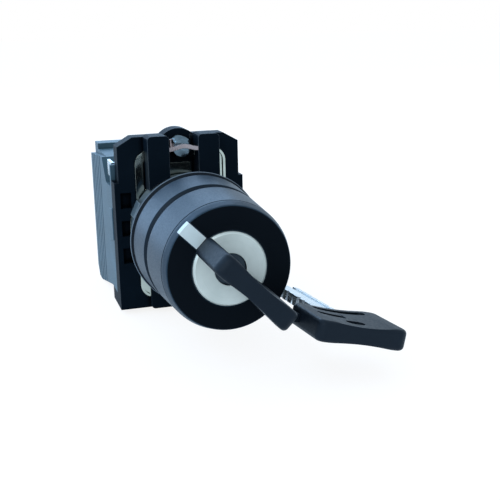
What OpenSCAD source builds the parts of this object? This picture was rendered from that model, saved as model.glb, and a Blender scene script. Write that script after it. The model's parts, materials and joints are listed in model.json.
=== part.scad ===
// Key-operated selector switch for a 22 mm panel hole, with its fixing collar,
// two contact blocks, the key in the lock and a spare key on a moulded strap.
// The origin lies on the switch axis in the front plane of the panel, and the head faces -Y.

/* [Neck and gasket] */
// Outer diameter of the neck that passes through the panel hole
neck_d = 22; // [20:0.1:24]
// Wall of the neck
neck_wall = 0.9; // [0.8:0.1:1.1]
// How far the neck reaches behind the panel front
neck_reach = 15.5; // [13.5:0.5:16.5]
// Length of the full neck diameter that the panel sits on
neck_seat = 8; // [6:0.5:8]
// Step from the seat down to the rest of the neck
neck_step = 0.3; // [0.2:0.05:0.5]
// Chamfer on the end of the neck
neck_chamfer = 0.4; // [0.2:0.1:0.6]
// Length of the neck inside the bezel
spigot_l = 3.6; // [2.5:0.1:5]
// Outer diameter of the gasket lip
gasket_d = 29; // [27:0.5:32]
// Thickness of the gasket
gasket_t = 1.8; // [1.2:0.1:2.4]
// Height of the thin gasket lip
lip_t = 0.5; // [0.3:0.1:0.8]
// How far the gasket lip stands out past the gasket body
lip_w = 1; // [0.5:0.1:1.4]

/* [Bezel] */
// Diameter of the bezel at the gasket
bezel_base_d = 28.1; // [27:0.1:30]
// Diameter of the bezel at its front edge
bezel_tip_d = 25.6; // [25.2:0.1:27]
// Length of the bezel
bezel_len = 21.3; // [18:0.1:25]
// Distance of the grip groove from the gasket
groove_at = 8.7; // [5:0.1:12]
// Width of the grip groove
groove_w = 1.4; // [0.8:0.1:2]
// Depth of the grip groove
groove_depth = 0.6; // [0.3:0.1:0.9]
// Width of the slanted flanks of the grip groove
groove_flank = 0.35; // [0.1:0.05:0.4]

/* [Selector ring] */
// Gap between bezel and selector ring
ring_gap = 0.2; // [0.1:0.05:0.4]
// Height of the bevel on the selector ring
ring_h = 2.1; // [1.6:0.1:3]
// Diameter of the flat front of the selector ring
ring_face_d = 24.4; // [22:0.1:25]
// Outer diameter of the skirt inside the bezel
skirt_d = 23.8; // [23:0.1:24]
// Wall of the skirt
skirt_wall = 1.3; // [1:0.1:1.6]
// Length of the skirt
skirt_len = 3.2; // [2:0.1:4]
// Width of the pointer mark
pointer_w = 2.75; // [2:0.05:3.5]
// Thickness of the pointer insert
pointer_t = 0.9; // [0.6:0.1:1.2]
// Angle of the pointer and key from straight up at rest
rest_angle = 45; // [30:5:60]

/* [Lock] */
// Diameter of the fixed lock barrel
barrel_d = 18; // [17:0.1:18.4]
// How far the barrel reaches behind the panel front
barrel_reach = 6; // [4:0.5:6.5]
// Diameter of the turning plug
plug_d = 13; // [12:0.1:14]
// Diameter of the bright lock disc
disc_d = 14.6; // [14:0.1:16]
// Thickness of the lock disc
disc_t = 1.2; // [1:0.1:1.5]
// How far the lock disc stands proud of the ring
disc_proud = 0.6; // [0.3:0.1:0.8]
// Chamfer on the lock disc
disc_chamfer = 0.4; // [0.2:0.1:0.6]
// Diameter of the round recess at the keyway
recess_d = 7.8; // [7:0.1:9]
// Depth of the round recess
recess_depth = 0.5; // [0.3:0.1:0.7]
// Number of wafers in the plug
wafer_count = 6; // [4:1:7]
// Spacing of the wafers
wafer_pitch = 3; // [2.6:0.1:3.2]
// Thickness of one wafer
wafer_t = 0.8; // [0.6:0.1:1]
// Height of a wafer across the key blade
wafer_h = 4.8; // [4.2:0.1:5.2]
// Diameter of the stop pin
stop_d = 1.8; // [1.4:0.1:2.2]
// Angle that the selector turns
turn_angle = 90; // [60:5:90]

/* [Plug tail] */
// Diameter of the plug tail
tail_d = 8; // [7:0.1:9]
// Distance of the flat on the plug tail from the axis
tail_flat_at = 2.7; // [2.2:0.1:3.2]
// Length of the plug tail inside the cam
tail_l = 2.4; // [2:0.1:2.8]
// Thickness of the retaining clip
clip_t = 0.8; // [0.6:0.1:1]
// Outer diameter of the retaining clip
clip_d = 16; // [15:0.5:17]
// Width of the mouth of the retaining clip
clip_mouth = 9; // [8:0.1:10]
// Diameter of the clip groove
clip_groove_d = 11.4; // [10.5:0.1:11.8]
// Front plane of the cam behind the panel
cam_front = 9; // [8.6:0.1:10]
// End plane of the cam behind the panel
cam_end = 17.2; // [16.5:0.1:17.4]
// Wall of the cam round the screw head
cam_hub_wall = 0.9; // [0.6:0.1:1.2]
// Plunger travel over the turn
travel = 3; // [2:0.1:3]
// Diameter of the cam screw head
cam_screw_head_d = 6; // [5:0.5:7]
// Height of the cam screw head
cam_screw_head_h = 1.6; // [1.2:0.1:2]
// Diameter of the cam screw thread
cam_screw_d = 3; // [2.5:0.5:4]
// Length of the cam screw thread
cam_screw_len = 6; // [5:0.5:8]

/* [Keys] */
// Width of the key bow
bow_w = 18.3; // [17:0.1:21]
// Length of the key bow
bow_l = 15; // [12:0.5:20]
// Thickness of the key bow
bow_t = 4.1; // [3.6:0.1:5]
// Corner radius of the bow
bow_r = 1.8; // [1.4:0.1:3]
// Distance of the middle of the bow from the middle of the blade
bow_shift = 0.6; // [0:0.1:1]
// Rounding of the bow edges
bow_edge = 0.9; // [0.4:0.1:1.2]
// Gap between lock disc and bow
bow_gap = 0.8; // [0.4:0.1:2]
// Depth of the thumb dish in each face of the bow
dish_depth = 0.45; // [0.2:0.05:0.5]
// Width of the thumb dish
dish_w = 13; // [10:0.5:15]
// Depth of the moulded leaf recesses below the dish
leaf_depth = 0.5; // [0.2:0.1:0.6]
// Length of the long leaf recess
long_leaf_l = 11.2; // [8:0.1:12]
// Width of the long leaf recess
long_leaf_w = 2.2; // [1.2:0.1:2.4]
// Distance of the long leaf recess from the lower edge of the bow
long_leaf_at = 2.6; // [2.4:0.1:3.6]
// Length of the short leaf recess
short_leaf_l = 6; // [4:0.1:7]
// Width of the short leaf recess
short_leaf_w = 2; // [1:0.1:2.2]
// Distance of the short leaf recess from the lower edge of the bow
short_leaf_at = 7.2; // [5.6:0.1:7.6]
// Length of the hole in the bow
hole_l = 3.8; // [3:0.1:5]
// Width of the hole in the bow
hole_w = 2.6; // [1.8:0.1:3]
// Distance of the hole from the lower edge of the bow
hole_at = 11.2; // [10:0.1:11.6]
// Distance of the hole from the middle of the bow
hole_off = 0.4; // [0:0.1:1]
// Distance of the short leaf recess from the middle of the bow
short_leaf_off = 3.6; // [2.5:0.1:4]
// Width of the key blade
blade_w = 4.8; // [4.4:0.1:6]
// Thickness of the key blade
blade_t = 2.2; // [1.8:0.1:2.4]
// Length of the blade outside the bow
blade_l = 24; // [20:0.5:25]
// Length of the tapered tip of the blade
blade_tip_l = 1.6; // [1:0.1:2.5]
// Width of the blade at its very tip
blade_tip_w = 2.4; // [1.6:0.1:4]
// Length of the blade root inside the bow
tang_l = 7; // [5:0.5:8]
// Thickness of the blade root inside the bow
tang_t = 1.2; // [1:0.1:1.4]
// Width of the milled groove in the blade
mill_w = 1; // [0.6:0.1:1.2]
// Distance of the milled groove from the middle of the blade
mill_at = 0.9; // [0.6:0.1:1]
// Depth of the milled groove
mill_depth = 0.5; // [0.3:0.1:0.6]
// Depth of the cuts in the blade edges
bit_depth = 0.8; // [0.4:0.1:1]
// Distance that the spare key lies to the right of the axis
spare_x = 19.6; // [18.6:0.1:24]
// Distance that the spare key lies below the axis
spare_drop = 11.5; // [10.6:0.1:15]
// Tilt of the spare key about its length
spare_tilt = 14; // [8:1:20]
// Droop of the spare blade
spare_droop = 4; // [0:1:8]
// Thickness of the strap between the bows
strap_t = 1.6; // [1.2:0.1:2]
// Width of the strap
strap_w = 4; // [3:0.5:5]
// Depth of the strap ends in the bows
strap_in = 2; // [1.5:0.1:2.5]
// Distance of the strap from the lower edge of the bows
strap_s = 3.5; // [3.2:0.1:4.5]
// Diameter of the round bead where the strap bends
bead_d = 2.6; // [2:0.1:3]

/* [Collar] */
// Width of the collar
collar_w = 30; // [29:0.5:32]
// Width of its narrower upper part
collar_top_w = 28; // [27:0.5:29]
// Height at which the upper part begins
collar_step_z = 10.5; // [9:0.5:12]
// Height of the collar top above the axis
collar_top = 20.6; // [20:0.1:22]
// Depth of the collar bottom below the axis
collar_bottom = 19.2; // [18.5:0.1:22]
// Front plane of the collar plate behind the panel
collar_front = 14.5; // [14.5:0.1:16]
// Thickness of the collar plate
plate_t = 4.5; // [4:0.1:5]
// Width of the cut upper corners
corner_w = 3.5; // [2:0.5:4]
// Height of the cut upper corners
corner_h = 2; // [1:0.5:3]
// Radius of the round boss at the clamp screw
boss_r = 5; // [4.6:0.1:5.4]
// Height of the boss above the collar top
boss_rise = 1.5; // [1:0.1:2]
// Height of the clamp screw above the axis
screw_z = 18.2; // [17.8:0.1:18.6]
// Front plane of the two raised tabs
tab_front = 9; // [8.6:0.1:10]
// Inner side of each tab from the middle
tab_in = 3.3; // [3:0.1:3.6]
// Outer side of each tab from the middle
tab_out = 8.1; // [7.6:0.1:8.2]
// How far the tabs reach above the collar top
tab_rise = 0.6; // [0.3:0.1:1]
// How far the block below the neck stands in front of the plate
low_block = 4.6; // [3:0.1:5]
// Corner radius of the tabs and of that block
tab_r = 0.9; // [0.5:0.1:1.2]
// Depth of the collar foot under the blocks
foot_depth = 10.3; // [8:0.1:12]
// Width of the side pockets
pocket_w = 2.5; // [1.5:0.1:2.6]
// Height of the side pockets
pocket_h = 3.6; // [2.5:0.1:4.5]
// Spacing of the side pockets
pocket_pitch = 6.4; // [5.5:0.1:7]
// Depth of the side pockets
pocket_depth = 2; // [1:0.1:3]
// Width of the slits beside the clamp screw
slit_w = 0.7; // [0.5:0.1:0.8]
// Height of those slits
slit_h = 1.2; // [0.8:0.1:1.4]
// Height of those slits above the clamp screw
slit_up = 1.9; // [1.7:0.1:2]

/* [Clamp] */
// Thickness of the steel clamp frame
frame_t = 1.2; // [0.8:0.1:1.4]
// Height of the folded rim on the sides of the frame
rim_h = 0.6; // [0.4:0.1:0.7]
// Width of that rim
rim_w = 0.55; // [0.4:0.05:0.7]
// Outer half width of the frame
frame_out = 10.4; // [10:0.1:10.6]
// Width of the frame strip
frame_strip = 1.9; // [1.5:0.1:2.2]
// Top of the frame above the axis
frame_top = 17.6; // [16.8:0.1:18]
// Bottom of the frame below the axis
frame_bottom = 16.2; // [15.8:0.1:16.6]
// Corner radius of the frame
frame_r = 3; // [2.6:0.1:4]
// Radial gap between neck and the round eye of the frame
eye_gap = 0.35; // [0.3:0.05:0.6]
// Width of the strip round the eye
eye_strip = 0.7; // [0.6:0.1:1.2]
// Width of the tongue on the eye of the frame
tongue_w = 5.2; // [4:0.1:6]
// Height of the tongue above the eye of the frame
tongue_h = 3.2; // [2.6:0.1:3.4]
// Diameter of the clamp screw
screw_d = 4.8; // [4:0.1:5]
// Diameter of the clamp screw head
screw_head_d = 6.6; // [6:0.1:7]
// Height of the clamp screw head
screw_head_h = 2.4; // [2:0.1:3]
// Thickness of the wave strip
wave_t = 0.6; // [0.4:0.1:0.8]
// Depth of the wave strip
wave_l = 1.4; // [1:0.1:1.6]
// Rise of the wave strip
wave_rise = 0.6; // [0.3:0.1:0.9]
// Width of the upturned lug at one end of the wave strip
lug_w = 1.2; // [0.8:0.1:1.4]
// Height of that lug
lug_h = 2.6; // [2:0.1:3]
// Angle that the lug is turned outwards
lug_turn = 50; // [30:5:60]
// Radial gap between neck and locking ring
lock_ring_gap = 0.3; // [0.2:0.05:0.5]
// Wall of the locking ring
lock_ring_wall = 0.8; // [0.7:0.1:1.2]
// Front plane of the locking ring
lock_ring_front = 8.4; // [8:0.1:9]
// Length of the lever nub outside the ring
nub_l = 0.4; // [0.3:0.1:1.4]
// Width of the lever nub
nub_w = 3.6; // [3:0.1:4.5]
// Angle of the lever nub from the left side
nub_angle = 25; // [15:1:30]

/* [Contact blocks] */
// Length of a block
block_l = 32.5; // [30:0.5:36]
// Height of the top of a block above the middle
block_top = 14; // [13.6:0.1:15]
// Depth of its underside on the collar foot
block_low = 16.2; // [15.6:0.1:17]
// Depth of its underside at the back
block_drop = 20.2; // [18:0.1:21]
// Where the underside begins to drop, behind the collar foot
drop_at = 1.2; // [0.6:0.1:2]
// Length over which the underside drops
drop_run = 19; // [12:0.5:20]
// Cut of the lower rear corner
drop_cut = 2.6; // [1:0.1:4]
// Height of the ridge along the rear edge
ridge_h = 1.4; // [1:0.1:2]
// Length of that ridge
ridge_l = 5; // [4:0.5:7]
// Width of the sloped ledge on the outer side
ledge_w = 1.2; // [0.8:0.1:1.6]
// Fall of that ledge towards the back
ledge_fall = 1.6; // [1:0.1:2]
// Thickness of the block cover
cover_t = 1.2; // [1:0.1:1.4]
// Thickness of the block front wall
block_wall = 3; // [2.6:0.1:3.2]
// Thickness of the outer side wall
side_wall = 1.8; // [1.2:0.1:2]
// Thickness of the outer wall beside the lower terminal
low_wall = 1; // [0.8:0.1:1.1]
// Half height of the contact chamber
chamber_z = 7.6; // [7.2:0.1:7.8]
// Length of the contact chamber
chamber_l = 18; // [17:0.5:20]
// Width of a rib groove on the block side
rib_w = 0.8; // [0.5:0.1:1.2]
// Depth of a rib groove
rib_depth = 0.4; // [0.2:0.1:0.6]
// Spacing of the rib grooves
rib_pitch = 3; // [2.4:0.1:3.2]
// Distance of the first rib groove from the back of the block
rib_at = 3.4; // [2.6:0.1:4]
// Number of rib grooves on each block
rib_count = 5; // [2:1:5]
// Distance of the plunger tip from the edge of the cam
plunger_edge = 0.3; // [0.2:0.1:0.5]
// Diameter of the plunger
plunger_d = 3.2; // [2.8:0.1:3.4]
// Diameter of the rounded plunger tip
tip_d = 2; // [1.6:0.1:2.4]
// Diameter of the spring guide
guide_d = 3; // [2.4:0.1:3.2]
// Length of the spring guide behind the bridge
guide_l = 6; // [5:0.5:7]
// Thickness of the plunger carrier
carrier_t = 3.4; // [3:0.1:3.6]
// Half height of the plunger carrier
carrier_z = 3; // [2.5:0.1:3.5]
// Thickness of the contact bridge
bridge_t = 0.8; // [0.6:0.1:1]
// Half length of the contact bridge
bridge_z = 6.4; // [6:0.1:6.6]
// Width of the contact bridge
bridge_w = 4.6; // [4.4:0.1:5]
// Diameter of a contact tip
contact_d = 2; // [1.6:0.1:2.2]
// Thickness of a contact tip
contact_t = 0.6; // [0.4:0.1:0.8]
// Height of the contact tips from the middle
contact_z = 5.2; // [5:0.1:5.3]
// Wire diameter of the return spring
wire_d = 0.6; // [0.4:0.05:0.7]
// Outer diameter of the return spring
spring_d = 5; // [4.6:0.1:5.2]
// Number of spring turns
spring_turns = 6; // [4:1:7]

/* [Terminals] */
// Thickness of a terminal plate
term_t = 1; // [0.8:0.1:1.2]
// Width of a terminal plate
term_w = 4.6; // [4:0.1:5]
// Floor of the terminal recess above the middle
term_z = 8.8; // [8.6:0.1:9]
// Length of the recess floor
term_floor = 6.6; // [6.4:0.1:8.4]
// Run of the sloped recess wall
slope_run = 5; // [4:0.1:6]
// Distance of the terminal screw behind the block front
term_screw_at = 4.6; // [4.5:0.1:5.2]
// Diameter of the terminal screw
term_screw_d = 3.4; // [3:0.1:3.6]
// Diameter of the terminal screw head
term_head_d = 5.6; // [5.2:0.1:6]
// Height of the terminal screw head
term_head_h = 2.2; // [1.8:0.1:2.4]
// Length of the wire clamp
clamp_l = 5.8; // [5.4:0.1:6]
// Width of the wire clamp
clamp_w = 6; // [5.6:0.1:6.2]
// Thickness of the wire clamp
clamp_t = 1.4; // [1.2:0.1:1.6]
// Thickness of the guard on the outer side of the upper wire clamp
guard_t = 0.7; // [0.5:0.1:0.8]
// Gap for the wire under the clamp
wire_gap = 0.9; // [0.6:0.1:1.2]

/* [Screw recesses] */
// Width of the slots in the screw heads
slot_w = 0.8; // [0.5:0.1:1]
// Depth of the slots in the screw heads
slot_depth = 0.8; // [0.5:0.1:1]
// Distance of the slot ends from the edge of the screw head
slot_rim = 1.1; // [0.8:0.1:1.4]

/* [Fits] */
// Radial clearance of running fits
run_fit = 0.06; // [0.03:0.01:0.1]
// Clearance of pieces that are pushed together
push_fit = 0.04; // [0.02:0.01:0.08]
// Clearance between faces that pass each other
pass_gap = 0.3; // [0.2:0.05:0.4]
// Clearance of the key in lock disc, plug and wafers
key_gap = 0.15; // [0.1:0.05:0.2]

/* [Hidden] */
$fn = 64;
cut = 1;

// Radii and planes on the switch axis, measured forward from the panel
neck_r = neck_d / 2;
spigot_r = neck_r - neck_step;
neck_bore_r = spigot_r - neck_wall;
barrel_r = barrel_d / 2;
plug_r = plug_d / 2;
disc_r = disc_d / 2;
skirt_r = skirt_d / 2;
bezel_top = gasket_t + bezel_len;
skirt_floor = bezel_top - skirt_len - pass_gap;
ring_bottom = bezel_top + ring_gap;
ring_face = ring_bottom + ring_h;
disc_top = ring_face + disc_proud;
disc_seat = disc_top - disc_t;
bow_start = disc_top + bow_gap;
key_depth = blade_l - bow_gap - disc_t + cut;
stop_s = -barrel_reach / 2;
clip_s = -barrel_reach - pass_gap - clip_t;
cam_r = neck_bore_r - pass_gap;
tail_end = -cam_front - tail_l;
cam_head_top = -cam_end + cam_screw_head_h + pass_gap;
cam_hub_r = cam_screw_head_d / 2 + cam_hub_wall;
plunger_x = cam_r - plunger_edge - tip_d / 2;
ramp_rise = travel / (2 * sin(turn_angle / 2));
ramp_tilt = atan(ramp_rise / plunger_x);
ramp_mean = cam_end - ramp_rise;
ramp_low = ramp_mean - travel / 2;

// Planes behind the panel
plate_back = collar_front + plate_t;
frame_front = collar_front - frame_t;
lock_ring_r = neck_r + lock_ring_gap;
lock_ring_out = lock_ring_r + lock_ring_wall;
lock_ring_back = frame_front - rim_h - pass_gap;
eye_r = neck_r + eye_gap;
eye_out = eye_r + eye_strip;
block_back = plate_back + block_l;
chamber_front = plate_back + block_wall;
chamber_back = chamber_front + chamber_l;
block_out = collar_w / 2;
ridge_top = block_top + ridge_h;
chamber_in = plunger_x - plunger_d / 2 - pass_gap;
block_in = chamber_in - cover_t;
chamber_out = block_out - side_wall;
guide_x = (chamber_in + chamber_out) / 2;
tip_front = ramp_low + pass_gap;
carrier_front = chamber_front + pass_gap;
bridge_front = carrier_front + carrier_t;
bridge_back = bridge_front + bridge_t;
fixed_back = bridge_back + 2 * contact_t + travel + pass_gap / 2 + term_t;
guide_end = bridge_back + guide_l;
spring_r = (spring_d - wire_d) / 2;
spring_len = chamber_back - bridge_back - wire_d - 2 * push_fit;
term_x = block_out - low_wall - pass_gap - clamp_w / 2;
recess_in = term_x - clamp_w / 2 - pass_gap;
term_front = plate_back + block_wall / 2;
floor_end = term_front + term_floor;
slope_end = floor_end + slope_run;
term_screw_end = (chamber_z + term_z) / 2;
clamp_low = term_z + term_t + wire_gap;
clamp_high = clamp_low + clamp_t;
screw_tip = tab_front + wave_l + pass_gap;

// Place of the strap between the bows, where the middle planes of the two keys meet
strap_slope = tan(90 - rest_angle);
strap_u = (spare_drop - spare_x * strap_slope) / (sin(spare_tilt) - cos(spare_tilt) * strap_slope);
strap_x = spare_x - strap_u * cos(spare_tilt);
strap_drop = spare_drop - strap_u * sin(spare_tilt);
strap_out = norm([strap_x, strap_drop]);
strap_low = strap_s - strap_w / 2;
strap_high = strap_s + strap_w / 2;

// Turns a shape drawn as seen from the front, so that its height runs out of the panel
module from_front() {
    rotate([90, 0, 0]) children();
}

// Solid of revolution about the switch axis, from an outline of radius and distance from the panel
module turned(outline) {
    from_front() rotate_extrude() polygon(outline);
}

// Round bar between two distances in front of the panel
module axis_bar(r, from, to) {
    from_front() translate([0, 0, from]) cylinder(r = r, h = to - from);
}

// Round bar along Y behind the panel, at a place across it
module deep_bar(place, d, from, to) {
    translate([place.x, to, place.y]) rotate([90, 0, 0]) cylinder(d = d, h = to - from);
}

// Upright round bar at the stop pin
module stop_bar(d, from, to) {
    translate([0, -stop_s, from]) cylinder(d = d, h = to - from);
}

// Cross slots sunk in a screw head, centred on its end face
module cross_slots(head_d) {
    for (turn = [0, 90]) rotate([0, 0, turn])
        cube([head_d - 2 * slot_rim, slot_w, 2 * slot_depth], center = true);
}

// Box from its lowest and highest corner
module span(low, high) {
    translate(low) cube(high - low);
}

// Flat outline with round corners, centred on the origin
module rounded(size, r) {
    square([size.x - 2 * r, size.y], center = true);
    square([size.x, size.y - 2 * r], center = true);
    for (x = [-1, 1], y = [-1, 1])
        translate([x * (size.x / 2 - r), y * (size.y / 2 - r)]) circle(r);
}

function bezel_r(h) = (bezel_base_d + (bezel_tip_d - bezel_base_d) * h / bezel_len) / 2;

module bezel() {
    groove_end = groove_at + groove_w;
    groove_r = bezel_r(groove_end) - groove_depth;
    color("#23282e") turned([
        [spigot_r + push_fit, gasket_t],
        [bezel_r(0), gasket_t],
        [bezel_r(groove_at), gasket_t + groove_at],
        [groove_r, gasket_t + groove_at + groove_flank],
        [groove_r, gasket_t + groove_end - groove_flank],
        [bezel_r(groove_end), gasket_t + groove_end],
        [bezel_r(bezel_len), bezel_top],
        [skirt_r + run_fit, bezel_top],
        [skirt_r + run_fit, skirt_floor],
        [barrel_r + push_fit, skirt_floor],
        [barrel_r + push_fit, spigot_l + push_fit],
        [spigot_r + push_fit, spigot_l + push_fit]
    ]);
}

module gasket() {
    body_r = gasket_d / 2 - lip_w;
    color("#15181b") turned([
        [spigot_r + push_fit, 0],
        [gasket_d / 2, 0],
        [gasket_d / 2, lip_t],
        [body_r, lip_t + lip_w / 2],
        [body_r, gasket_t],
        [spigot_r + push_fit, gasket_t]
    ]);
}

// Tube through the panel, closed round the barrel at the front and open for the cam behind
module neck() {
    inner_r = barrel_r + push_fit;
    color("#2b3036") turned([
        [inner_r, spigot_l],
        [spigot_r, spigot_l],
        [spigot_r, 0],
        [neck_r, 0],
        [neck_r, -neck_seat],
        [spigot_r, -neck_seat],
        [spigot_r, -neck_reach + neck_chamfer],
        [spigot_r - neck_chamfer, -neck_reach],
        [neck_bore_r, -neck_reach],
        [neck_bore_r, -barrel_reach],
        [inner_r, -barrel_reach]
    ]);
}

module lock_barrel() {
    color("#b9a26a") difference() {
        axis_bar(barrel_r, -barrel_reach, skirt_floor);
        axis_bar(plug_r + run_fit, -barrel_reach - cut, skirt_floor + cut);
        stop_bar(stop_d + 2 * push_fit, 0, barrel_r + cut);
    }
}

// Pin that ends the turn, in the barrel and in the arc groove of the plug
module stop_pin() {
    color("#c9ccd0") intersection() {
        stop_bar(stop_d, plug_r - stop_d / 2, barrel_r + cut);
        axis_bar(barrel_r, -barrel_reach, 0);
    }
}

// Slot for the pointer, from the disc out through the bevel
module pointer_shape(extra) {
    from_front() rotate([0, 0, rest_angle])
        span(
            [-pointer_w / 2 - extra, disc_r + pass_gap, ring_face - pointer_t - extra],
            [pointer_w / 2 + extra, bezel_tip_d, ring_face]
        );
}

module ring_body() {
    turned([
        [plug_r + push_fit, ring_bottom],
        [skirt_r - skirt_wall, ring_bottom],
        [skirt_r - skirt_wall, ring_bottom - skirt_len],
        [skirt_r, ring_bottom - skirt_len],
        [skirt_r, ring_bottom],
        [bezel_tip_d / 2, ring_bottom],
        [ring_face_d / 2, ring_face],
        [disc_r + push_fit, ring_face],
        [disc_r + push_fit, disc_seat],
        [plug_r + push_fit, disc_seat]
    ]);
}

module selector_ring() {
    color("#14181c") difference() {
        ring_body();
        pointer_shape(push_fit);
    }
}

module pointer() {
    color("#e4ecf2") intersection() {
        ring_body();
        pointer_shape(0);
    }
}

// Outline of the key blade across its length, grown by a clearance
module blade_section(extra) {
    square([blade_w + 2 * extra, blade_t + 2 * extra], center = true);
}

// Places children in the lock, drawn with the blade width along X and the length along Z
module in_lock() {
    from_front() rotate([0, 0, -rest_angle]) children();
}

// Slot for the blade between two distances in front of the panel
module keyway(from, to) {
    in_lock() translate([0, 0, from]) linear_extrude(to - from) blade_section(key_gap);
}

module lock_disc() {
    color("#b4bcc2") difference() {
        turned([
            [0, disc_seat],
            [disc_r, disc_seat],
            [disc_r, disc_top - disc_chamfer],
            [disc_r - disc_chamfer, disc_top],
            [recess_d / 2, disc_top],
            [recess_d / 2, disc_top - recess_depth],
            [0, disc_top - recess_depth]
        ]);
        keyway(disc_seat - cut, disc_top + cut);
    }
}

// Height of each wafer's middle along the axis
function wafer_s(i) = disc_seat - wafer_pitch * (i + 1);

module lock_plug() {
    pin_arc = asin((stop_d / 2 + pass_gap) / (plug_r - stop_d / 2));
    color("#c2a55c") difference() {
        union() {
            axis_bar(plug_r, -barrel_reach, disc_seat);
            axis_bar(clip_groove_d / 2, clip_s - push_fit, -barrel_reach);
            axis_bar(plug_r, -cam_front, clip_s - push_fit);
            axis_bar(tail_d / 2, tail_end, -cam_front);
        }
        keyway(disc_seat - key_depth, disc_seat + cut);
        in_lock() for (i = [0 : wafer_count - 1]) translate([0, 0, wafer_s(i)])
            cube([plug_d + cut, wafer_h + 2 * push_fit, wafer_t + 2 * push_fit], center = true);
        from_front() translate([0, 0, stop_s - stop_d / 2 - pass_gap]) rotate([0, 0, 90 - pin_arc])
            rotate_extrude(angle = turn_angle + 2 * pin_arc)
                translate([plug_r - stop_d / 2 - pass_gap, 0])
                    square([stop_d + cut, stop_d + 2 * pass_gap]);
        axis_bar(cam_screw_d / 2 + push_fit, tail_end - cut, cam_head_top + cam_screw_len + pass_gap);
        tail_flat();
    }
}

// Flat side that keeps the cam from turning on the plug tail
module tail_flat() {
    from_front() span([-tail_d, tail_flat_at, -cam_end - cut], [tail_d, tail_d, -cam_front]);
}

module wafers() {
    color("#d0b468") in_lock() for (i = [0 : wafer_count - 1])
        translate([0, 0, wafer_s(i) - wafer_t / 2]) linear_extrude(wafer_t) difference() {
            intersection() {
                square([plug_d, wafer_h], center = true);
                circle(plug_r - push_fit);
            }
            blade_section(2 * key_gap);
        }
}

// Spring clip that keeps the plug in the barrel
module plug_clip() {
    color("#9aa0a6") from_front() translate([0, 0, clip_s]) linear_extrude(clip_t) difference() {
        circle(d = clip_d);
        circle(d = clip_groove_d + 2 * push_fit);
        translate([0, -clip_d / 2]) square([clip_mouth, clip_d], center = true);
    }
}

// Face cam with two ramps, one for each plunger
module cam() {
    reach = 2 * cam_r;
    color("#3a4047") difference() {
        axis_bar(cam_r, -cam_end, -cam_front);
        difference() {
            axis_bar(tail_d / 2 + push_fit, tail_end - push_fit, -cam_front + cut);
            translate([0, 0, push_fit]) tail_flat();
        }
        axis_bar(cam_screw_d / 2 + push_fit, -cam_end - cut, tail_end + cut);
        axis_bar(cam_screw_head_d / 2 + push_fit, -cam_end - cut, cam_head_top);
        from_front() for (side = [0, 180]) rotate([0, 0, side + turn_angle / 2])
            translate([0, 0, -ramp_mean]) rotate([-ramp_tilt, 0, 0])
                span([cam_hub_r, -reach, -reach], [reach, reach, 0]);
    }
}

module cam_screw() {
    color("#b7bcc1") difference() {
        union() {
            axis_bar(cam_screw_head_d / 2, cam_head_top - cam_screw_head_h, cam_head_top);
            axis_bar(cam_screw_d / 2, cam_head_top, cam_head_top + cam_screw_len);
        }
        from_front() translate([0, 0, cam_head_top - cam_screw_head_h]) cross_slots(cam_screw_head_d);
    }
}

// Depth of one cut in the blade edge, which differs from wafer to wafer
function bit_cut(i, side) = bit_depth * (1 + (i + side + 1) % 3) / 3;

// Key blade along Z with its shoulder at zero, its root in the bow above and its tip below
module blade_shape() {
    body_end = -blade_l + blade_tip_l;
    difference() {
        union() {
            translate([0, 0, body_end]) linear_extrude(-body_end) blade_section(0);
            linear_extrude(tang_l) square([blade_w, tang_t], center = true);
            rotate([90, 0, 0]) linear_extrude(blade_t, center = true) polygon([
                [-blade_tip_w / 2, -blade_l],
                [blade_tip_w / 2, -blade_l],
                [blade_w / 2, body_end],
                [-blade_w / 2, body_end]
            ]);
        }
        for (side = [-1, 1]) translate([side * mill_at, side * blade_t / 2, -blade_l - cut])
            linear_extrude(blade_l + cut) square([mill_w, 2 * mill_depth], center = true);
        for (side = [-1, 1], i = [0 : wafer_count - 1])
            translate([side * blade_w / 2, 0, wafer_s(i) - bow_start])
                rotate([90, 0, 0]) linear_extrude(blade_t + cut, center = true) polygon([
                    [-side * bit_cut(i, side), 0],
                    [side * cut, -wafer_pitch / 2],
                    [side * cut, wafer_pitch / 2]
                ]);
    }
}

// One corner of the bow with rounded edges
module bow_corner() {
    rotate_extrude($fn = 32) {
        translate([0, -bow_t / 2]) square([bow_r - bow_edge, bow_t]);
        translate([0, -bow_t / 2 + bow_edge]) square([bow_r, bow_t - 2 * bow_edge]);
        intersection() {
            translate([0, -bow_t / 2]) square([bow_r, bow_t]);
            for (side = [-1, 1]) translate([bow_r - bow_edge, side * (bow_t / 2 - bow_edge)])
                circle(bow_edge, $fn = 20);
        }
    }
}

// Long opening with round ends
module leaf(length, width) {
    rounded([length, width], width / 2 - push_fit);
}

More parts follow.
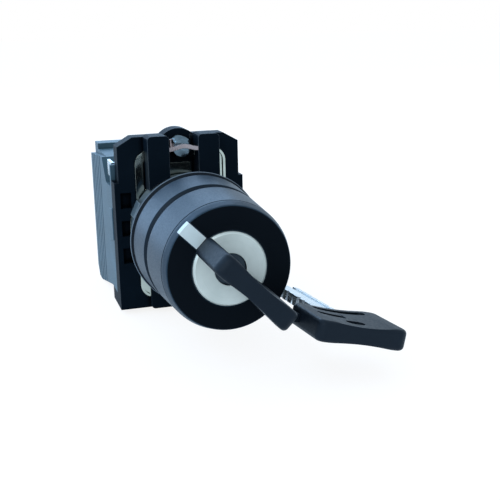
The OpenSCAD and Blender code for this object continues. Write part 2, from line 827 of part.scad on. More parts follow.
// Key bow along Z with its lower edge at zero, with pockets for the blade and the strap
module bow_shape(strap_side) {
    dish_r = (dish_w * dish_w / 4 + dish_depth * dish_depth) / (2 * dish_depth);
    translate([bow_shift, 0, 0]) difference() {
        hull() for (x = [-1, 1], z = [bow_r, bow_l - bow_r])
            translate([x * (bow_w / 2 - bow_r), 0, z]) rotate([90, 0, 0]) bow_corner();
        translate([-bow_shift, 0, -cut]) linear_extrude(tang_l + push_fit + cut)
            square([blade_w + 2 * push_fit, tang_t + 2 * push_fit], center = true);
        for (face = [-1, 1]) translate([0, face * (bow_t / 2 - dish_depth + dish_r), -cut])
            cylinder(r = dish_r, h = bow_l + 2 * cut, $fn = 96);
        translate([strap_side * (bow_w / 2 - strap_in - push_fit), 0, strap_s])
            translate([strap_side * bow_w / 2, 0, 0])
                cube([bow_w, strap_t + 2 * push_fit, strap_w + 2 * push_fit], center = true);
        for (face = [-1, 1]) translate([0, face * bow_t / 2, 0]) rotate([90, 0, 0])
            linear_extrude(2 * (dish_depth + leaf_depth), center = true) {
                translate([0, long_leaf_at]) leaf(long_leaf_l, long_leaf_w);
                translate([-short_leaf_off, short_leaf_at]) leaf(short_leaf_l, short_leaf_w);
            }
        translate([-hole_off, 0, hole_at]) rotate([90, 0, 0])
            linear_extrude(bow_t + cut, center = true) leaf(hole_l, hole_w);
    }
}

// Places children where the spare key hangs
module at_spare() {
    from_front() translate([spare_x, -spare_drop, bow_start])
        rotate([0, 0, -spare_tilt]) rotate([-spare_droop, 0, 0]) children();
}

module at_key() {
    in_lock() translate([0, 0, bow_start]) children();
}

module key_blade() {
    color("#c6ccd1") at_key() blade_shape();
}

module key_bow() {
    color("#1c2126") at_key() bow_shape(1);
}

module spare_blade() {
    color("#c6ccd1") at_spare() blade_shape();
}

module spare_bow() {
    color("#1c2126") at_spare() bow_shape(-1);
}

// Moulded strap that keeps the two keys together, with an end in a pocket of each bow
module key_strap() {
    bow_end = bow_w / 2 - strap_in;
    color("#1c2126") {
        at_key()
            span([bow_shift + bow_end, -strap_t / 2, strap_low], [strap_out, strap_t / 2, strap_high]);
        at_spare()
            span([-strap_u, -strap_t / 2, strap_low], [bow_shift - bow_end, strap_t / 2, strap_high]);
        from_front() translate([strap_x, -strap_drop, bow_start + strap_low])
            cylinder(d = bead_d, h = strap_w);
    }
}

// Front view of the collar plate
module collar_outline() {
    half = collar_w / 2;
    top_half = collar_top_w / 2;
    polygon([
        [-half, -collar_bottom], [half, -collar_bottom], [half, collar_step_z], [top_half, collar_step_z],
        [top_half, collar_top - corner_h], [top_half - corner_w, collar_top],
        [-top_half + corner_w, collar_top], [-top_half, collar_top - corner_h],
        [-top_half, collar_step_z], [-half, collar_step_z]
    ]);
    translate([0, collar_top + boss_rise - boss_r]) circle(boss_r);
}

// Front view of the frame's outer edge, grown by a clearance or drawn in by a strip
module frame_edge(extra) {
    tall = frame_top + frame_bottom;
    translate([0, (frame_top - frame_bottom) / 2])
        rounded([2 * frame_out + 2 * extra, tall + 2 * extra], frame_r + extra);
}

// Front view of the steel frame, grown by a clearance
module frame_outline(extra) {
    difference() {
        union() {
            difference() {
                frame_edge(extra);
                frame_edge(-frame_strip - extra);
            }
            circle(eye_out + extra);
        }
        circle(eye_r - extra);
    }
}

// One raised tab of the collar as seen from the front
module tab_outline() {
    wide = tab_out - tab_in;
    tall = collar_top + tab_rise;
    translate([(tab_in + tab_out) / 2, tall / 2]) rounded([wide, tall], tab_r);
}

// Block below the neck, as seen from the front
module low_block_outline() {
    tall = collar_bottom - neck_r;
    translate([0, tall / 2 - collar_bottom]) rounded([2 * tab_out, tall], tab_r);
}

module collar() {
    ring_room = lock_ring_out + pass_gap;
    color("#191d22") difference() {
        union() {
            from_front() translate([0, 0, -plate_back]) linear_extrude(plate_t) collar_outline();
            from_front() translate([0, 0, -collar_front]) linear_extrude(collar_front - tab_front)
                for (side = [0, 1]) mirror([side, 0]) tab_outline();
            from_front() translate([0, 0, -collar_front]) linear_extrude(low_block) low_block_outline();
            span(
                [-collar_w / 2, collar_front, -collar_bottom],
                [collar_w / 2, collar_front + foot_depth, -block_low - push_fit]
            );
        }
        axis_bar(neck_r + pass_gap, -plate_back - cut, 0);
        axis_bar(ring_room, -lock_ring_back - pass_gap, 0);
        axis_bar(eye_out + push_fit, -collar_front, 0);
        from_front() translate([0, 0, -collar_front])
            linear_extrude(frame_t + pass_gap) frame_outline(push_fit);
        deep_bar([0, screw_z], screw_d + 2 * run_fit, collar_front - cut, plate_back + cut);
        for (side = [-1, 1]) translate([side * (tab_in - slit_w / 2), 0, screw_z + slit_up])
            cube([slit_w, 2 * plate_back + cut, slit_h], center = true);
        for (side = [-1, 1], row = [-1 : 1])
            translate([side * (collar_w / 2 - pocket_w), collar_front, row * pocket_pitch])
                cube([pocket_w, 2 * pocket_depth, pocket_h], center = true);
    }
}

// Steel frame, open at the screw, with a tongue on its eye and a rim on its sides
module clamp_frame() {
    rim_in = tab_out + pass_gap;
    color("#c9c2ae") from_front() translate([0, 0, -collar_front]) {
        linear_extrude(frame_t) {
            difference() {
                frame_outline(0);
                translate([-tab_in, eye_out]) square([2 * tab_in, frame_top]);
            }
            translate([-tongue_w / 2, eye_r]) square([tongue_w, tongue_h]);
        }
        linear_extrude(frame_t + rim_h) difference() {
            frame_edge(0);
            frame_edge(-rim_w);
            circle(eye_r);
            square([2 * rim_in, 2 * (frame_top + frame_bottom)], center = true);
        }
    }
}

// Clamp screw in the boss, with its head behind the plate
module clamp_screw() {
    color("#c3c8cd") difference() {
        union() {
            deep_bar([0, screw_z], screw_d, screw_tip, plate_back);
            deep_bar([0, screw_z], screw_head_d, plate_back, plate_back + screw_head_h);
        }
        from_front() translate([0, screw_z, -plate_back - screw_head_h]) cross_slots(screw_head_d);
    }
}

// Bent spring strip between the tabs, in front of the clamp screw
module wave_strip() {
    half = tab_in - push_fit;
    steps = 24;
    height = function(x) screw_z + wave_rise * cos(180 * x / half);
    place = function(i) half * (2 * i / steps - 1);
    upper = [for (i = [0 : steps]) [place(i), height(place(i)) + wave_t / 2]];
    lower = [for (i = [steps : -1 : 0]) [place(i), height(place(i)) - wave_t / 2]];
    color("#d8ccc8") from_front() {
        translate([0, 0, -tab_front - wave_l]) linear_extrude(wave_l) polygon(concat(upper, lower));
        translate([-half + lug_w / 2, height(-half) + lug_h / 2, -tab_front - wave_l / 2])
            rotate([0, lug_turn, 0]) cube([lug_w, lug_h, wave_t], center = true);
    }
}

// Grey ring that locks the collar on the neck, with its lever nub
module locking_ring() {
    color("#8d949b") from_front() translate([0, 0, -lock_ring_back])
        linear_extrude(lock_ring_back - lock_ring_front) difference() {
            union() {
                circle(lock_ring_out);
                rotate(180 - nub_angle) translate([0, -nub_w / 2]) square([lock_ring_out + nub_l, nub_w]);
            }
            circle(lock_ring_r);
        }
}

// Draws a right-hand block piece on the given side
module on_side(side) {
    mirror([side < 0 ? 1 : 0, 0, 0]) children();
}

// Draws a piece at the upper and at the lower terminal
module both_ends() {
    children();
    mirror([0, 0, 1]) children();
}

// Side view of the sloped terminal recess
module recess_outline() {
    polygon([
        [term_front, term_z], [floor_end, term_z], [slope_end, block_top],
        [slope_end, block_drop + cut], [term_front, block_drop + cut]
    ]);
}

// Extrudes a side view across the block
module across(from, to) {
    translate([from, 0, 0]) rotate([90, 0, 90]) linear_extrude(to - from) children();
}

// Places children on the axis of a terminal screw
module at_terminal(z) {
    translate([term_x, plate_back + term_screw_at, z]) children();
}

// Terminal plate with its leg down to the contact tip, grown by a clearance
module terminal_shape(extra) {
    low_x = term_x - term_w / 2 - extra;
    high_x = term_x + term_w / 2 + extra;
    span([low_x, term_front + pass_gap, term_z], [high_x, fixed_back + extra, term_z + term_t + extra]);
    span(
        [low_x, fixed_back - term_t - extra, contact_z - contact_d / 2 - extra],
        [high_x, fixed_back + extra, term_z + term_t + extra]
    );
}

module block_outline() {
    ridge_at = block_back - ridge_l;
    drop_from = collar_front + foot_depth + drop_at;
    polygon([
        [plate_back, -block_low], [drop_from, -block_low], [drop_from + drop_run, -block_drop],
        [block_back - drop_cut, -block_drop], [block_back, -block_drop + drop_cut],
        [block_back, ridge_top], [ridge_at, ridge_top], [ridge_at, block_top], [plate_back, block_top]
    ]);
}

module housing() {
    color("#20262c") difference() {
        across(chamber_in, block_out) block_outline();
        span([chamber_in - cut, chamber_front, -chamber_z], [chamber_out, chamber_back, chamber_z]);
        deep_bar([plunger_x, 0], plunger_d + 2 * run_fit, plate_back - cut, chamber_front + cut);
        across(recess_in, block_out + cut) recess_outline();
        mirror([0, 0, 1]) across(recess_in, block_out - low_wall) recess_outline();
        across(block_out - ledge_w, block_out + cut) polygon([
            [slope_end, block_top], [block_back + cut, block_top - ledge_fall],
            [block_back + cut, ridge_top + cut], [slope_end, ridge_top + cut]
        ]);
        both_ends() {
            terminal_shape(push_fit);
            at_terminal(term_screw_end - push_fit)
                cylinder(d = term_screw_d + 2 * pass_gap, h = term_z);
        }
        for (i = [0 : rib_count - 1]) translate([block_out, block_back - rib_at - rib_pitch * i, 0])
            cube([2 * rib_depth, rib_w, 3 * block_drop], center = true);
    }
}

module cover() {
    color("#2a3138") across(block_in, chamber_in) block_outline();
}

module terminals() {
    color("#c8a85a") both_ends() difference() {
        union() {
            terminal_shape(0);
            deep_bar([guide_x, contact_z], contact_d, fixed_back - term_t - contact_t, fixed_back - term_t);
        }
        at_terminal(term_z - cut) cylinder(d = term_screw_d + 2 * run_fit, h = term_t + 2 * cut);
    }
}

module terminal_screws() {
    color("#c7ccd0") both_ends() difference() {
        union() {
            at_terminal(term_screw_end) cylinder(d = term_screw_d, h = clamp_high - term_screw_end);
            at_terminal(clamp_high) cylinder(d = term_head_d, h = term_head_h);
        }
        at_terminal(clamp_high + term_head_h) rotate([0, 0, 45]) cross_slots(term_head_d);
    }
}

module wire_clamps() {
    low_x = term_x - clamp_w / 2;
    high_x = term_x + clamp_w / 2;
    lip_x = term_x + term_w / 2 + push_fit;
    guard_x = term_x + term_head_d / 2 + pass_gap;
    low_y = plate_back + term_screw_at - clamp_l / 2;
    high_y = low_y + clamp_l;
    color("#d5d9dc") {
        both_ends() difference() {
            union() {
                span([low_x, low_y, clamp_low], [high_x, high_y, clamp_high]);
                span([lip_x, low_y, term_z + push_fit], [high_x, high_y, clamp_high]);
            }
            at_terminal(clamp_low - cut) cylinder(d = term_screw_d + 2 * run_fit, h = clamp_t + 2 * cut);
        }
        span([lip_x, low_y, clamp_low], [guard_x + guard_t, high_y, clamp_high]);
        span([guard_x, low_y, clamp_low], [guard_x + guard_t, high_y, clamp_high + term_head_h]);
    }
}

// Plunger with its tip at the cam, the carrier for the bridge and the guide for the spring
module plunger() {
    color("#e6e0d0") {
        translate([plunger_x, tip_front + tip_d / 2, 0]) sphere(d = tip_d);
        deep_bar([plunger_x, 0], tip_d, tip_front + tip_d / 2, plate_back);
        deep_bar([plunger_x, 0], plunger_d, plate_back - pass_gap, carrier_front);
        span(
            [chamber_in + pass_gap, carrier_front, -carrier_z],
            [chamber_out - pass_gap, bridge_front, carrier_z]
        );
        deep_bar([guide_x, 0], guide_d, bridge_front, guide_end);
    }
}

module bridge() {
    color("#cfae66") difference() {
        union() {
            span(
                [guide_x - bridge_w / 2, bridge_front, -bridge_z],
                [guide_x + bridge_w / 2, bridge_back, bridge_z]
            );
            for (side = [-1, 1])
                deep_bar([guide_x, side * contact_z], contact_d, bridge_back, bridge_back + contact_t);
        }
        deep_bar([guide_x, 0], guide_d + 2 * push_fit, bridge_front - cut, bridge_back + cut);
    }
}

// Middle of the spring wire at one of its rings, eight of them to a turn
curl = 8;
rings = curl * spring_turns;
function coil(k) =
    let (a = 360 * k / curl) [spring_r * cos(a), spring_len * k / rings, spring_r * sin(a)];
coil_gaps = [for (i = [0 : rings], k = [i + curl / 2 : 1 : rings]) norm(coil(i) - coil(k)) - wire_d];
echo(least_spring_gap = min(coil_gaps));

// Coil of the return spring as one unbroken tube, swept along a helix
module return_spring() {
    sides = 6;
    points = [for (k = [0 : rings], j = [0 : sides - 1])
        let (a = 360 * k / curl, b = 360 * j / sides)
        coil(k) + wire_d / 2 * [cos(b) * cos(a), sin(b), cos(b) * sin(a)]];
    corners = [for (k = [0 : rings - 1], j = [0 : sides - 1])
        let (p = k * sides + j, q = k * sides + (j + 1) % sides) [p, q, q + sides, p + sides]];
    skin = [for (f = corners, half = [1, 2]) [f[0], f[half], f[half + 1]]];
    first = [for (j = [1 : sides - 2]) [0, j + 1, j]];
    last = [for (j = [1 : sides - 2]) rings * sides * [1, 1, 1] + [0, j, j + 1]];
    color("#aeb4b9") translate([guide_x, bridge_back + wire_d / 2 + push_fit, 0])
        polyhedron(points, concat(skin, first, last), convexity = 8);
}

bezel();
gasket();
neck();
lock_barrel();
stop_pin();
selector_ring();
pointer();
lock_disc();
lock_plug();
wafers();
plug_clip();
cam();
cam_screw();
key_blade();
key_bow();
spare_blade();
spare_bow();
key_strap();
collar();
clamp_frame();
clamp_screw();
wave_strip();
locking_ring();
on_side(-1) housing();  // left_housing
on_side(-1) cover();  // left_cover
on_side(-1) terminals();  // left_terminals
on_side(-1) terminal_screws();  // left_screws
on_side(-1) wire_clamps();  // left_clamps
on_side(-1) plunger();  // left_plunger
on_side(-1) bridge();  // left_bridge
on_side(-1) return_spring();  // left_spring
on_side(1) housing();  // right_housing
on_side(1) cover();  // right_cover
on_side(1) terminals();  // right_terminals
on_side(1) terminal_screws();  // right_screws
on_side(1) wire_clamps();  // right_clamps
on_side(1) plunger();  // right_plunger
on_side(1) bridge();  // right_bridge
on_side(1) return_spring();  // right_spring
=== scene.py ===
"""Looks of a key-operated selector switch: moulded black plastic, satin steel, zinc and brass.

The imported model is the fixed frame. Visible nodes get copies with softened edges, and what repeats
or winds is made with Geometry Nodes. Lengths are in metres unless a name ends in _mm.
"""

from __future__ import annotations

import json
import logging
import math
from dataclasses import asdict, dataclass, fields
from enum import Enum
from functools import cache
from typing import Any, Callable

import bmesh
import bpy
from mathutils import Matrix, Vector
from mathutils.geometry import area_tri

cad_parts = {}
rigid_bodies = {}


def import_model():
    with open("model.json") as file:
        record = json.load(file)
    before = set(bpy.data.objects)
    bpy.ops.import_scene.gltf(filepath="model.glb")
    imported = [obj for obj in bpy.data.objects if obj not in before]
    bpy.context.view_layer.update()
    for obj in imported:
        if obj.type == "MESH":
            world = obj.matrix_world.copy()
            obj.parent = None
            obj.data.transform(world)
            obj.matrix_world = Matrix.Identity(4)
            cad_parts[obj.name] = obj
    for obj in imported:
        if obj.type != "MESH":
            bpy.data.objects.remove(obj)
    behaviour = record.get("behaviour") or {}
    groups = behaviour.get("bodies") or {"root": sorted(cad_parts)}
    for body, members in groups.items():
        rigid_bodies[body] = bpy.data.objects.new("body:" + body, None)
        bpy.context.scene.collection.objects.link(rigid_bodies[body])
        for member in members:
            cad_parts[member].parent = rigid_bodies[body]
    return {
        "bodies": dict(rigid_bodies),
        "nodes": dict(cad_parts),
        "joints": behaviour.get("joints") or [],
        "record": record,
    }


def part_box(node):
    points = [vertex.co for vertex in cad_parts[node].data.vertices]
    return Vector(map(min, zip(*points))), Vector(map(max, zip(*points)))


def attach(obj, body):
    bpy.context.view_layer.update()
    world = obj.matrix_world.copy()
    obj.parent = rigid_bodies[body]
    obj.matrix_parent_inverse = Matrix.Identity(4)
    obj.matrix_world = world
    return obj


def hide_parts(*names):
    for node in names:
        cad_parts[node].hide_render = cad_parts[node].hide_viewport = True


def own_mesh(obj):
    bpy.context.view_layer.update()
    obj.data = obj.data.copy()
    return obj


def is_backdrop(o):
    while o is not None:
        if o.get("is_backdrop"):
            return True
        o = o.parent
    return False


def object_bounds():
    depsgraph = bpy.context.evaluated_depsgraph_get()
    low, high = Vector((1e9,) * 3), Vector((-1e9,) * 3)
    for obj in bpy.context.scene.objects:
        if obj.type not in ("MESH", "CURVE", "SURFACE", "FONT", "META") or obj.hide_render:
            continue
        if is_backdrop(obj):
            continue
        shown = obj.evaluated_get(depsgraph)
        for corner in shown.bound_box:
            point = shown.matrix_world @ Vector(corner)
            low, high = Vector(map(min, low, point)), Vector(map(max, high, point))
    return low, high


LOG = logging.getLogger("switch")
MM = 0.001
WHITE = "#ffffff"

BMesh, BMEdge, BMFace = bmesh.types.BMesh, bmesh.types.BMEdge, bmesh.types.BMFace
Socket, NodeTree = bpy.types.NodeSocket, bpy.types.NodeTree
Object, Material = bpy.types.Object, bpy.types.Material
Triple = tuple[float, float, float]
Pair = tuple[Any, Any]
Bend = Callable[[Vector], Vector]
Tone = Callable[[Vector, bool], float]
Where = Callable[[Vector], bool]

# Face attribute that holds the tone: 1 on an edge paled by wear and a painted highlight,
# 0 on a plain face, -1 in a groove darkened by painted shade.
EDGE = "edge"
# Where most values of a noise lie.
NOISE_BAND = (0.3, 0.7)
# Points nearer than NEAR count as one place, and those nearer than WELD become one.
NEAR = 1e-5
WELD = 2e-6
# Angles in degrees: what counts as flat, what gets a rounding and what is shaded as sharp.
FLAT_ANGLE = 0.4
ROUND_ANGLE = 32.0
SHARP_ANGLE = 40.0
# Strips and fullness of a rounding, and the least angle between strips, in radians.
ROUND_STRIPS = 2
ROUND_PROFILE = 0.6
STRIP_ANGLE = 0.05
# Shares of a rounding that are tried, widest first, until no face lies over itself.
TRIES = (1.0, 0.75, 0.5, 0.3, 0.15)
# A face lies over itself if its triangles exceed its area by this factor. So much is let pass.
FOLD_FACTOR = 1.03
FOLD_ALLOWED = 0.1 * MM * MM
# How much large faces count in the shading beside them.
NORMAL_WEIGHT = 90
# How finely springs and screws are divided.
COIL_STEPS = 32
WIRE_SIDES = 12
SCREW_SIDES = 40
THREAD_STEPS = 72
HEAD_RINGS = 8
# The share of its width that a screw keeps at its tip, and how its dome falls to the rim.
TIP_SHARE = 0.86
DOME_POWER = 4.0


def linear(hex_colour: str) -> tuple[float, float, float, float]:
    """Turns an sRGB hex colour into linear light.

    Args:
        hex_colour: Colour such as "#1b1f24".

    Returns:
        Red, green, blue and an alpha of one.
    """
    parts = [int(hex_colour[i : i + 2], 16) / 255 for i in (1, 3, 5)]
    lit = [c / 12.92 if c <= 0.04045 else ((c + 0.055) / 1.055) ** 2.4 for c in parts]
    return (lit[0], lit[1], lit[2], 1.0)


@dataclass(frozen=True)
class Graph:
    """A node tree, with short calls for the nodes that recur."""

    tree: NodeTree

    @classmethod
    def of(cls, owner: Material | bpy.types.World) -> Graph:
        """Empties the tree of a material or a world.

        Args:
            owner: What the tree belongs to.

        Returns:
            The empty tree.
        """
        owner.use_nodes = True
        owner.node_tree.nodes.clear()
        return cls(owner.node_tree)

    @classmethod
    def geometry(cls, name: str, inputs: dict[str, str]) -> tuple[Graph, Any]:
        """Starts a Geometry Nodes tree that is given a material.

        Args:
            name: Name of the tree.
            inputs: Name of each other input, with its kind, such as "Float".

        Returns:
            The tree and its inputs, as sockets by name.
        """
        tree = bpy.data.node_groups.new(name, "GeometryNodeTree")
        tree.interface.new_socket("Geometry", in_out="OUTPUT", socket_type="NodeSocketGeometry")
        for title, kind in {**inputs, "Material": "Material"}.items():
            tree.interface.new_socket(title, in_out="INPUT", socket_type="NodeSocket" + kind)
        graph = cls(tree)
        return graph, graph.add("NodeGroupInput")

    def add(self, kind: str, inputs: dict[Any, Any] | None = None, **settings: Any) -> Any:
        """Adds one node with its settings, constants and links.

        Args:
            kind: Blender's type name of the node.
            inputs: Input name or number, with a constant, a socket or a list of these for each.
            settings: Properties of the node.

        Returns:
            The outputs of the new node.
        """
        node = self.tree.nodes.new(kind)
        for name, value in settings.items():
            setattr(node, name, value)
        for key, value in (inputs or {}).items():
            socket = node.inputs[key]
            for part in value if isinstance(value, list) else [value]:
                if isinstance(part, Socket):
                    self.tree.links.new(part, socket)
                else:
                    socket.default_value = part
        return node.outputs

    def maths(self, operation: str, *values: Any) -> Socket:
        """Adds one sum of values and returns its result."""
        return self.add("ShaderNodeMath", dict(enumerate(values)), operation=operation)[0]

    def mix(self, share: Any, first: Any, second: Any, blend_type: str = "MIX") -> Socket:
        """Adds a mix of two colours, of which the second counts for a share, and returns it."""
        inputs = {0: share, 6: first, 7: second}
        return self.add("ShaderNodeMix", inputs, data_type="RGBA", blend_type=blend_type)[2]

    def ramp(
        self, value: Socket, band: Pair, low: float = 0.0, high: float = 1.0, kind: str = "LINEAR"
    ) -> Socket:
        """Adds a ramp from low to high while a value crosses a band, and returns its result."""
        names = ("Value", "From Min", "From Max", "To Min", "To Max")
        inputs = dict(zip(names, (value, *band, low, high)))
        return self.add("ShaderNodeMapRange", inputs, interpolation_type=kind)["Result"]

    def noise(self, place: Socket, size_mm: float, detail: float = 3.0) -> Socket:
        """Adds an uneven pattern with spots of some size and returns its value, from 0 to 1."""
        inputs = {"Vector": place, "Scale": 1 / (size_mm * MM), "Detail": detail}
        return self.add("ShaderNodeTexNoise", inputs)["Fac"]

    def bump(self, pattern: Socket, height_mm: float, strength: float) -> Socket:
        """Adds a relief of some height from a pattern and returns its normal."""
        inputs = {"Strength": strength, "Distance": height_mm * MM, "Height": pattern}
        return self.add("ShaderNodeBump", inputs)["Normal"]

    def surface(self, inputs: dict[str, Any]) -> None:
        """Ends the tree of a material in a shader with these inputs."""
        shader = self.add("ShaderNodeBsdfPrincipled", inputs)
        self.add("ShaderNodeOutputMaterial", {"Surface": shader["BSDF"]})

    def end(self, geometry: Socket, material: Socket) -> None:
        """Ends a Geometry Nodes tree in realised, smooth geometry with its material.

        Args:
            geometry: What the tree has made.
            material: Input that holds the material.
        """
        real = self.add("GeometryNodeRealizeInstances", {0: geometry})
        smooth = self.add("GeometryNodeSetShadeSmooth", {0: real[0]})
        dressed = self.add("GeometryNodeSetMaterial", {"Geometry": smooth[0], "Material": material})
        self.add("NodeGroupOutput", {0: dressed[0]})


class Side(Enum):
    """Which of the two contact blocks, with its way out along X."""

    LEFT = -1.0
    RIGHT = 1.0

    def node(self, part: str) -> str:
        """Returns the name of a piece on this side, such as left_spring."""
        return f"{self.name.lower()}_{part}"


class Grain(Enum):
    """How the tool marks run on a metal surface."""

    TURNED = "turned"
    BRUSHED = "brushed"
    PLATED = "plated"


@dataclass(frozen=True)
class MouldedPlastic:
    """Injection-moulded plastic with a spark-eroded surface.

    The fine grain breaks up reflections, edges are a little paler from wear and a painted
    highlight, and inner corners and grooves are darkened with painted shade.
    """

    name: str
    colour: str
    edge_colour: str
    roughness: float = 0.5
    specular: float = 0.35
    grain_mm: float = 0.35
    grain_height_mm: float = 0.012
    grain_strength: float = 0.5
    mottle: float = 0.12
    mottle_mm: float = 6.0
    # Painted cool tint on the reflections, for the bluish light of the room.
    gloss_tint: str = "#cfe6ff"
    # Painted shade: ambient occlusion within this reach darkens inner corners and recesses.
    nook_mm: float = 1.2
    nook_power: float = 2.0
    # Share of its colour that a groove of painted shade keeps.
    groove_light: float = 0.12
    spread: Pair = (-0.05, 0.07)
    index: float = 1.5

    def material(self) -> Material:
        """Returns the plastic as a node material."""
        mat = bpy.data.materials.new(self.name)
        graph = Graph.of(mat)
        place = graph.add("ShaderNodeTexCoord")["Object"]
        grain = graph.noise(place, self.grain_mm)
        cloud = graph.noise(place, self.mottle_mm, detail=4.0)
        rim = graph.add("ShaderNodeAttribute", attribute_name=EDGE)["Fac"]
        shade = graph.ramp(cloud, NOISE_BAND, 1 - self.mottle, 1 + self.mottle)
        body = graph.mix(1.0, linear(self.colour), shade, "MULTIPLY")
        # Paler edges: wear, and a painted highlight where rounded edges catch the light.
        wear_and_highlight = graph.mix(rim, body, linear(self.edge_colour))
        # Painted shade: ambient occlusion darkens the colour in inner corners and recesses.
        near = {"Distance": self.nook_mm * MM}
        painted_corner_shade = graph.add("ShaderNodeAmbientOcclusion", near, samples=6, only_local=True)["AO"]
        # Painted shade in grooves, where the tone is -1.
        groove = graph.ramp(rim, (-1.0, 0.0), self.groove_light)
        depth = graph.maths("MULTIPLY", graph.maths("POWER", painted_corner_shade, self.nook_power), groove)
        smooth, rough = (self.roughness + off for off in self.spread)
        inputs = {
            "Base Color": graph.mix(1.0, wear_and_highlight, depth, "MULTIPLY"),
            "Roughness": graph.ramp(grain, NOISE_BAND, smooth, rough),
            "Specular IOR Level": self.specular,
            # Painted cool tint on the reflections.
            "Specular Tint": linear(self.gloss_tint),
            "IOR": self.index,
            "Normal": graph.bump(grain, self.grain_height_mm, self.grain_strength),
        }
        graph.surface(inputs)
        return mat


@dataclass(frozen=True)
class WorkedMetal:
    """Metal with the marks of its making: turned rings, straight brushing or a plated skin."""

    name: str
    colour: str
    dull_colour: str
    grain: Grain
    roughness: float = 0.3
    mark_mm: float = 0.3
    mark_height_mm: float = 0.006
    mark_strength: float = 0.4
    brushed_share: float = 0.04
    spread: float = 0.08
    least_roughness: float = 0.05
    stain_mm: float = 4.0
    stain_band: Pair = (0.35, 0.7)

    def marks(self, graph: Graph, place: Socket) -> Socket:
        """Adds the pattern of tool marks.

        Args:
            graph: Node tree of the material.
            place: Object coordinates.

        Returns:
            A value between zero and one.
        """
        if self.grain is Grain.TURNED:
            across = {0: place, 1: (1.0, 0.0, 1.0)}
            flat = graph.add("ShaderNodeVectorMath", across, operation="MULTIPLY")
            reach = graph.add("ShaderNodeVectorMath", {0: flat[0]}, operation="LENGTH")
            ring = graph.add("ShaderNodeCombineXYZ", {"X": reach["Value"]})
            return graph.noise(ring[0], self.mark_mm)
        along = self.brushed_share if self.grain is Grain.BRUSHED else 1.0
        lie = graph.add("ShaderNodeMapping", {"Vector": place, "Scale": (1.0, along, 1.0)})
        return graph.noise(lie[0], self.mark_mm, detail=4.0)

    def material(self) -> Material:
        """Returns the metal as a node material."""
        mat = bpy.data.materials.new(self.name)
        graph = Graph.of(mat)
        place = graph.add("ShaderNodeTexCoord")["Object"]
        marks = self.marks(graph, place)
        stain = graph.ramp(graph.noise(place, self.stain_mm), self.stain_band)
        smooth = max(self.roughness - self.spread, self.least_roughness)
        inputs = {
            "Base Color": graph.mix(stain, linear(self.colour), linear(self.dull_colour)),
            "Metallic": 1.0,
            "Roughness": graph.ramp(marks, NOISE_BAND, smooth, self.roughness + self.spread),
            "Normal": graph.bump(marks, self.mark_height_mm, self.mark_strength),
        }
        graph.surface(inputs)
        return mat


FINISHES: dict[str, MouldedPlastic | WorkedMetal] = {
    # Fine-textured black polyamide: dark head-on, blue grey where it mirrors the room,
    # with a painted cool tint on its reflections.
    "head_plastic": MouldedPlastic(
        "black_polyamide_head", "#1b2a36", "#384856",
        roughness=0.4, specular=0.34, gloss_tint="#c4e0ff",
    ),
    # The front ring is moulded smoother than the body behind it, and darker as painted shade.
    "shaded_ring_plastic": MouldedPlastic(
        "black_polyamide_ring", "#080d12", "#2b3a46", roughness=0.36, specular=0.055, mottle=0.06
    ),
    # Its pale edge colour is a painted highlight on the rims that catch the light.
    "collar_plastic": MouldedPlastic(
        "black_polyamide_collar", "#0c151d", "#7d8b96", roughness=0.42, specular=0.015
    ),
    # Dull grey mouldings of the contact blocks, with the flow marks of a filled plastic.
    "block_plastic": MouldedPlastic(
        "filled_polyamide_block", "#374e59", "#3d5561",
        roughness=0.48, specular=0.42, mottle=0.22, gloss_tint="#c4e7ff", nook_mm=0.2,
    ),
    "bow_plastic": MouldedPlastic(
        "textured_abs_key_bow", "#0d141b", "#232e38", roughness=0.46, specular=0.24, grain_mm=0.5
    ),
    "grey_plastic": MouldedPlastic(
        "grey_polyamide", "#48545a", "#69767b", roughness=0.45, mottle=0.06
    ),
    "white_plastic": MouldedPlastic(
        "white_polyamide", "#cfdedf", "#e6eeef", roughness=0.42, mottle=0.04
    ),
    # Nitrile rubber: soft, dark and dull, with a painted highlight on the edge of its moulded lip.
    "rubber": MouldedPlastic(
        "black_nitrile_rubber", "#0b0e11", "#66727c", specular=0.2, grain_mm=0.6
    ),
    # Turned stainless disc: rings of fine feed marks spread the highlight.
    "satin_steel": WorkedMetal(
        "turned_stainless_disc", "#e0e3db", "#d4d8d0", Grain.TURNED, roughness=0.5
    ),
    "key_steel": WorkedMetal(
        "nickel_plated_blade", "#f0f4f6", "#e0e6ea", Grain.BRUSHED, roughness=0.26
    ),
    # Zinc-plated steel is bright and smooth, so it mirrors the dark mouldings next to it.
    "steel": WorkedMetal(
        "bright_zinc_steel", "#c2cacf", "#a7b0b7", Grain.PLATED,
        roughness=0.2, mark_mm=0.8, mark_height_mm=0.002,
    ),
    "screw_steel": WorkedMetal(
        "grey_phosphated_screw", "#6f7f88", "#5a6870", Grain.PLATED,
        roughness=0.16, mark_mm=0.8, mark_height_mm=0.001,
    ),
    # Dark, dull steel painted on the wall and floor of the disc's recess as its shade.
    "recess_shade_steel": WorkedMetal(
        "rolled_steel_skin", "#454e55", "#373e44", Grain.PLATED, roughness=0.38, mark_mm=0.5
    ),
    "spring_steel": WorkedMetal(
        "tempered_spring_steel", "#a89a99", "#8d7f7e", Grain.BRUSHED,
        roughness=0.24, mark_height_mm=0.002,
    ),
    "zinc_steel": WorkedMetal(
        "passivated_zinc_frame", "#c3c7ba", "#adb2a6", Grain.BRUSHED,
        roughness=0.09, mark_height_mm=0.002,
    ),
    "brass": WorkedMetal(
        "machined_brass", "#cfae62", "#b6934c", Grain.PLATED, mark_height_mm=0.003
    ),
}

# Pieces whose finish departs from the one of their slot.
OWN_FINISH: dict[str, str] = {
    # The ring's own finish is a darker copy of the head plastic, for painted shade.
    "selector_ring": "shaded_ring_plastic",
    "wave_strip": "spring_steel",
    "clamp_screw": "screw_steel",
}


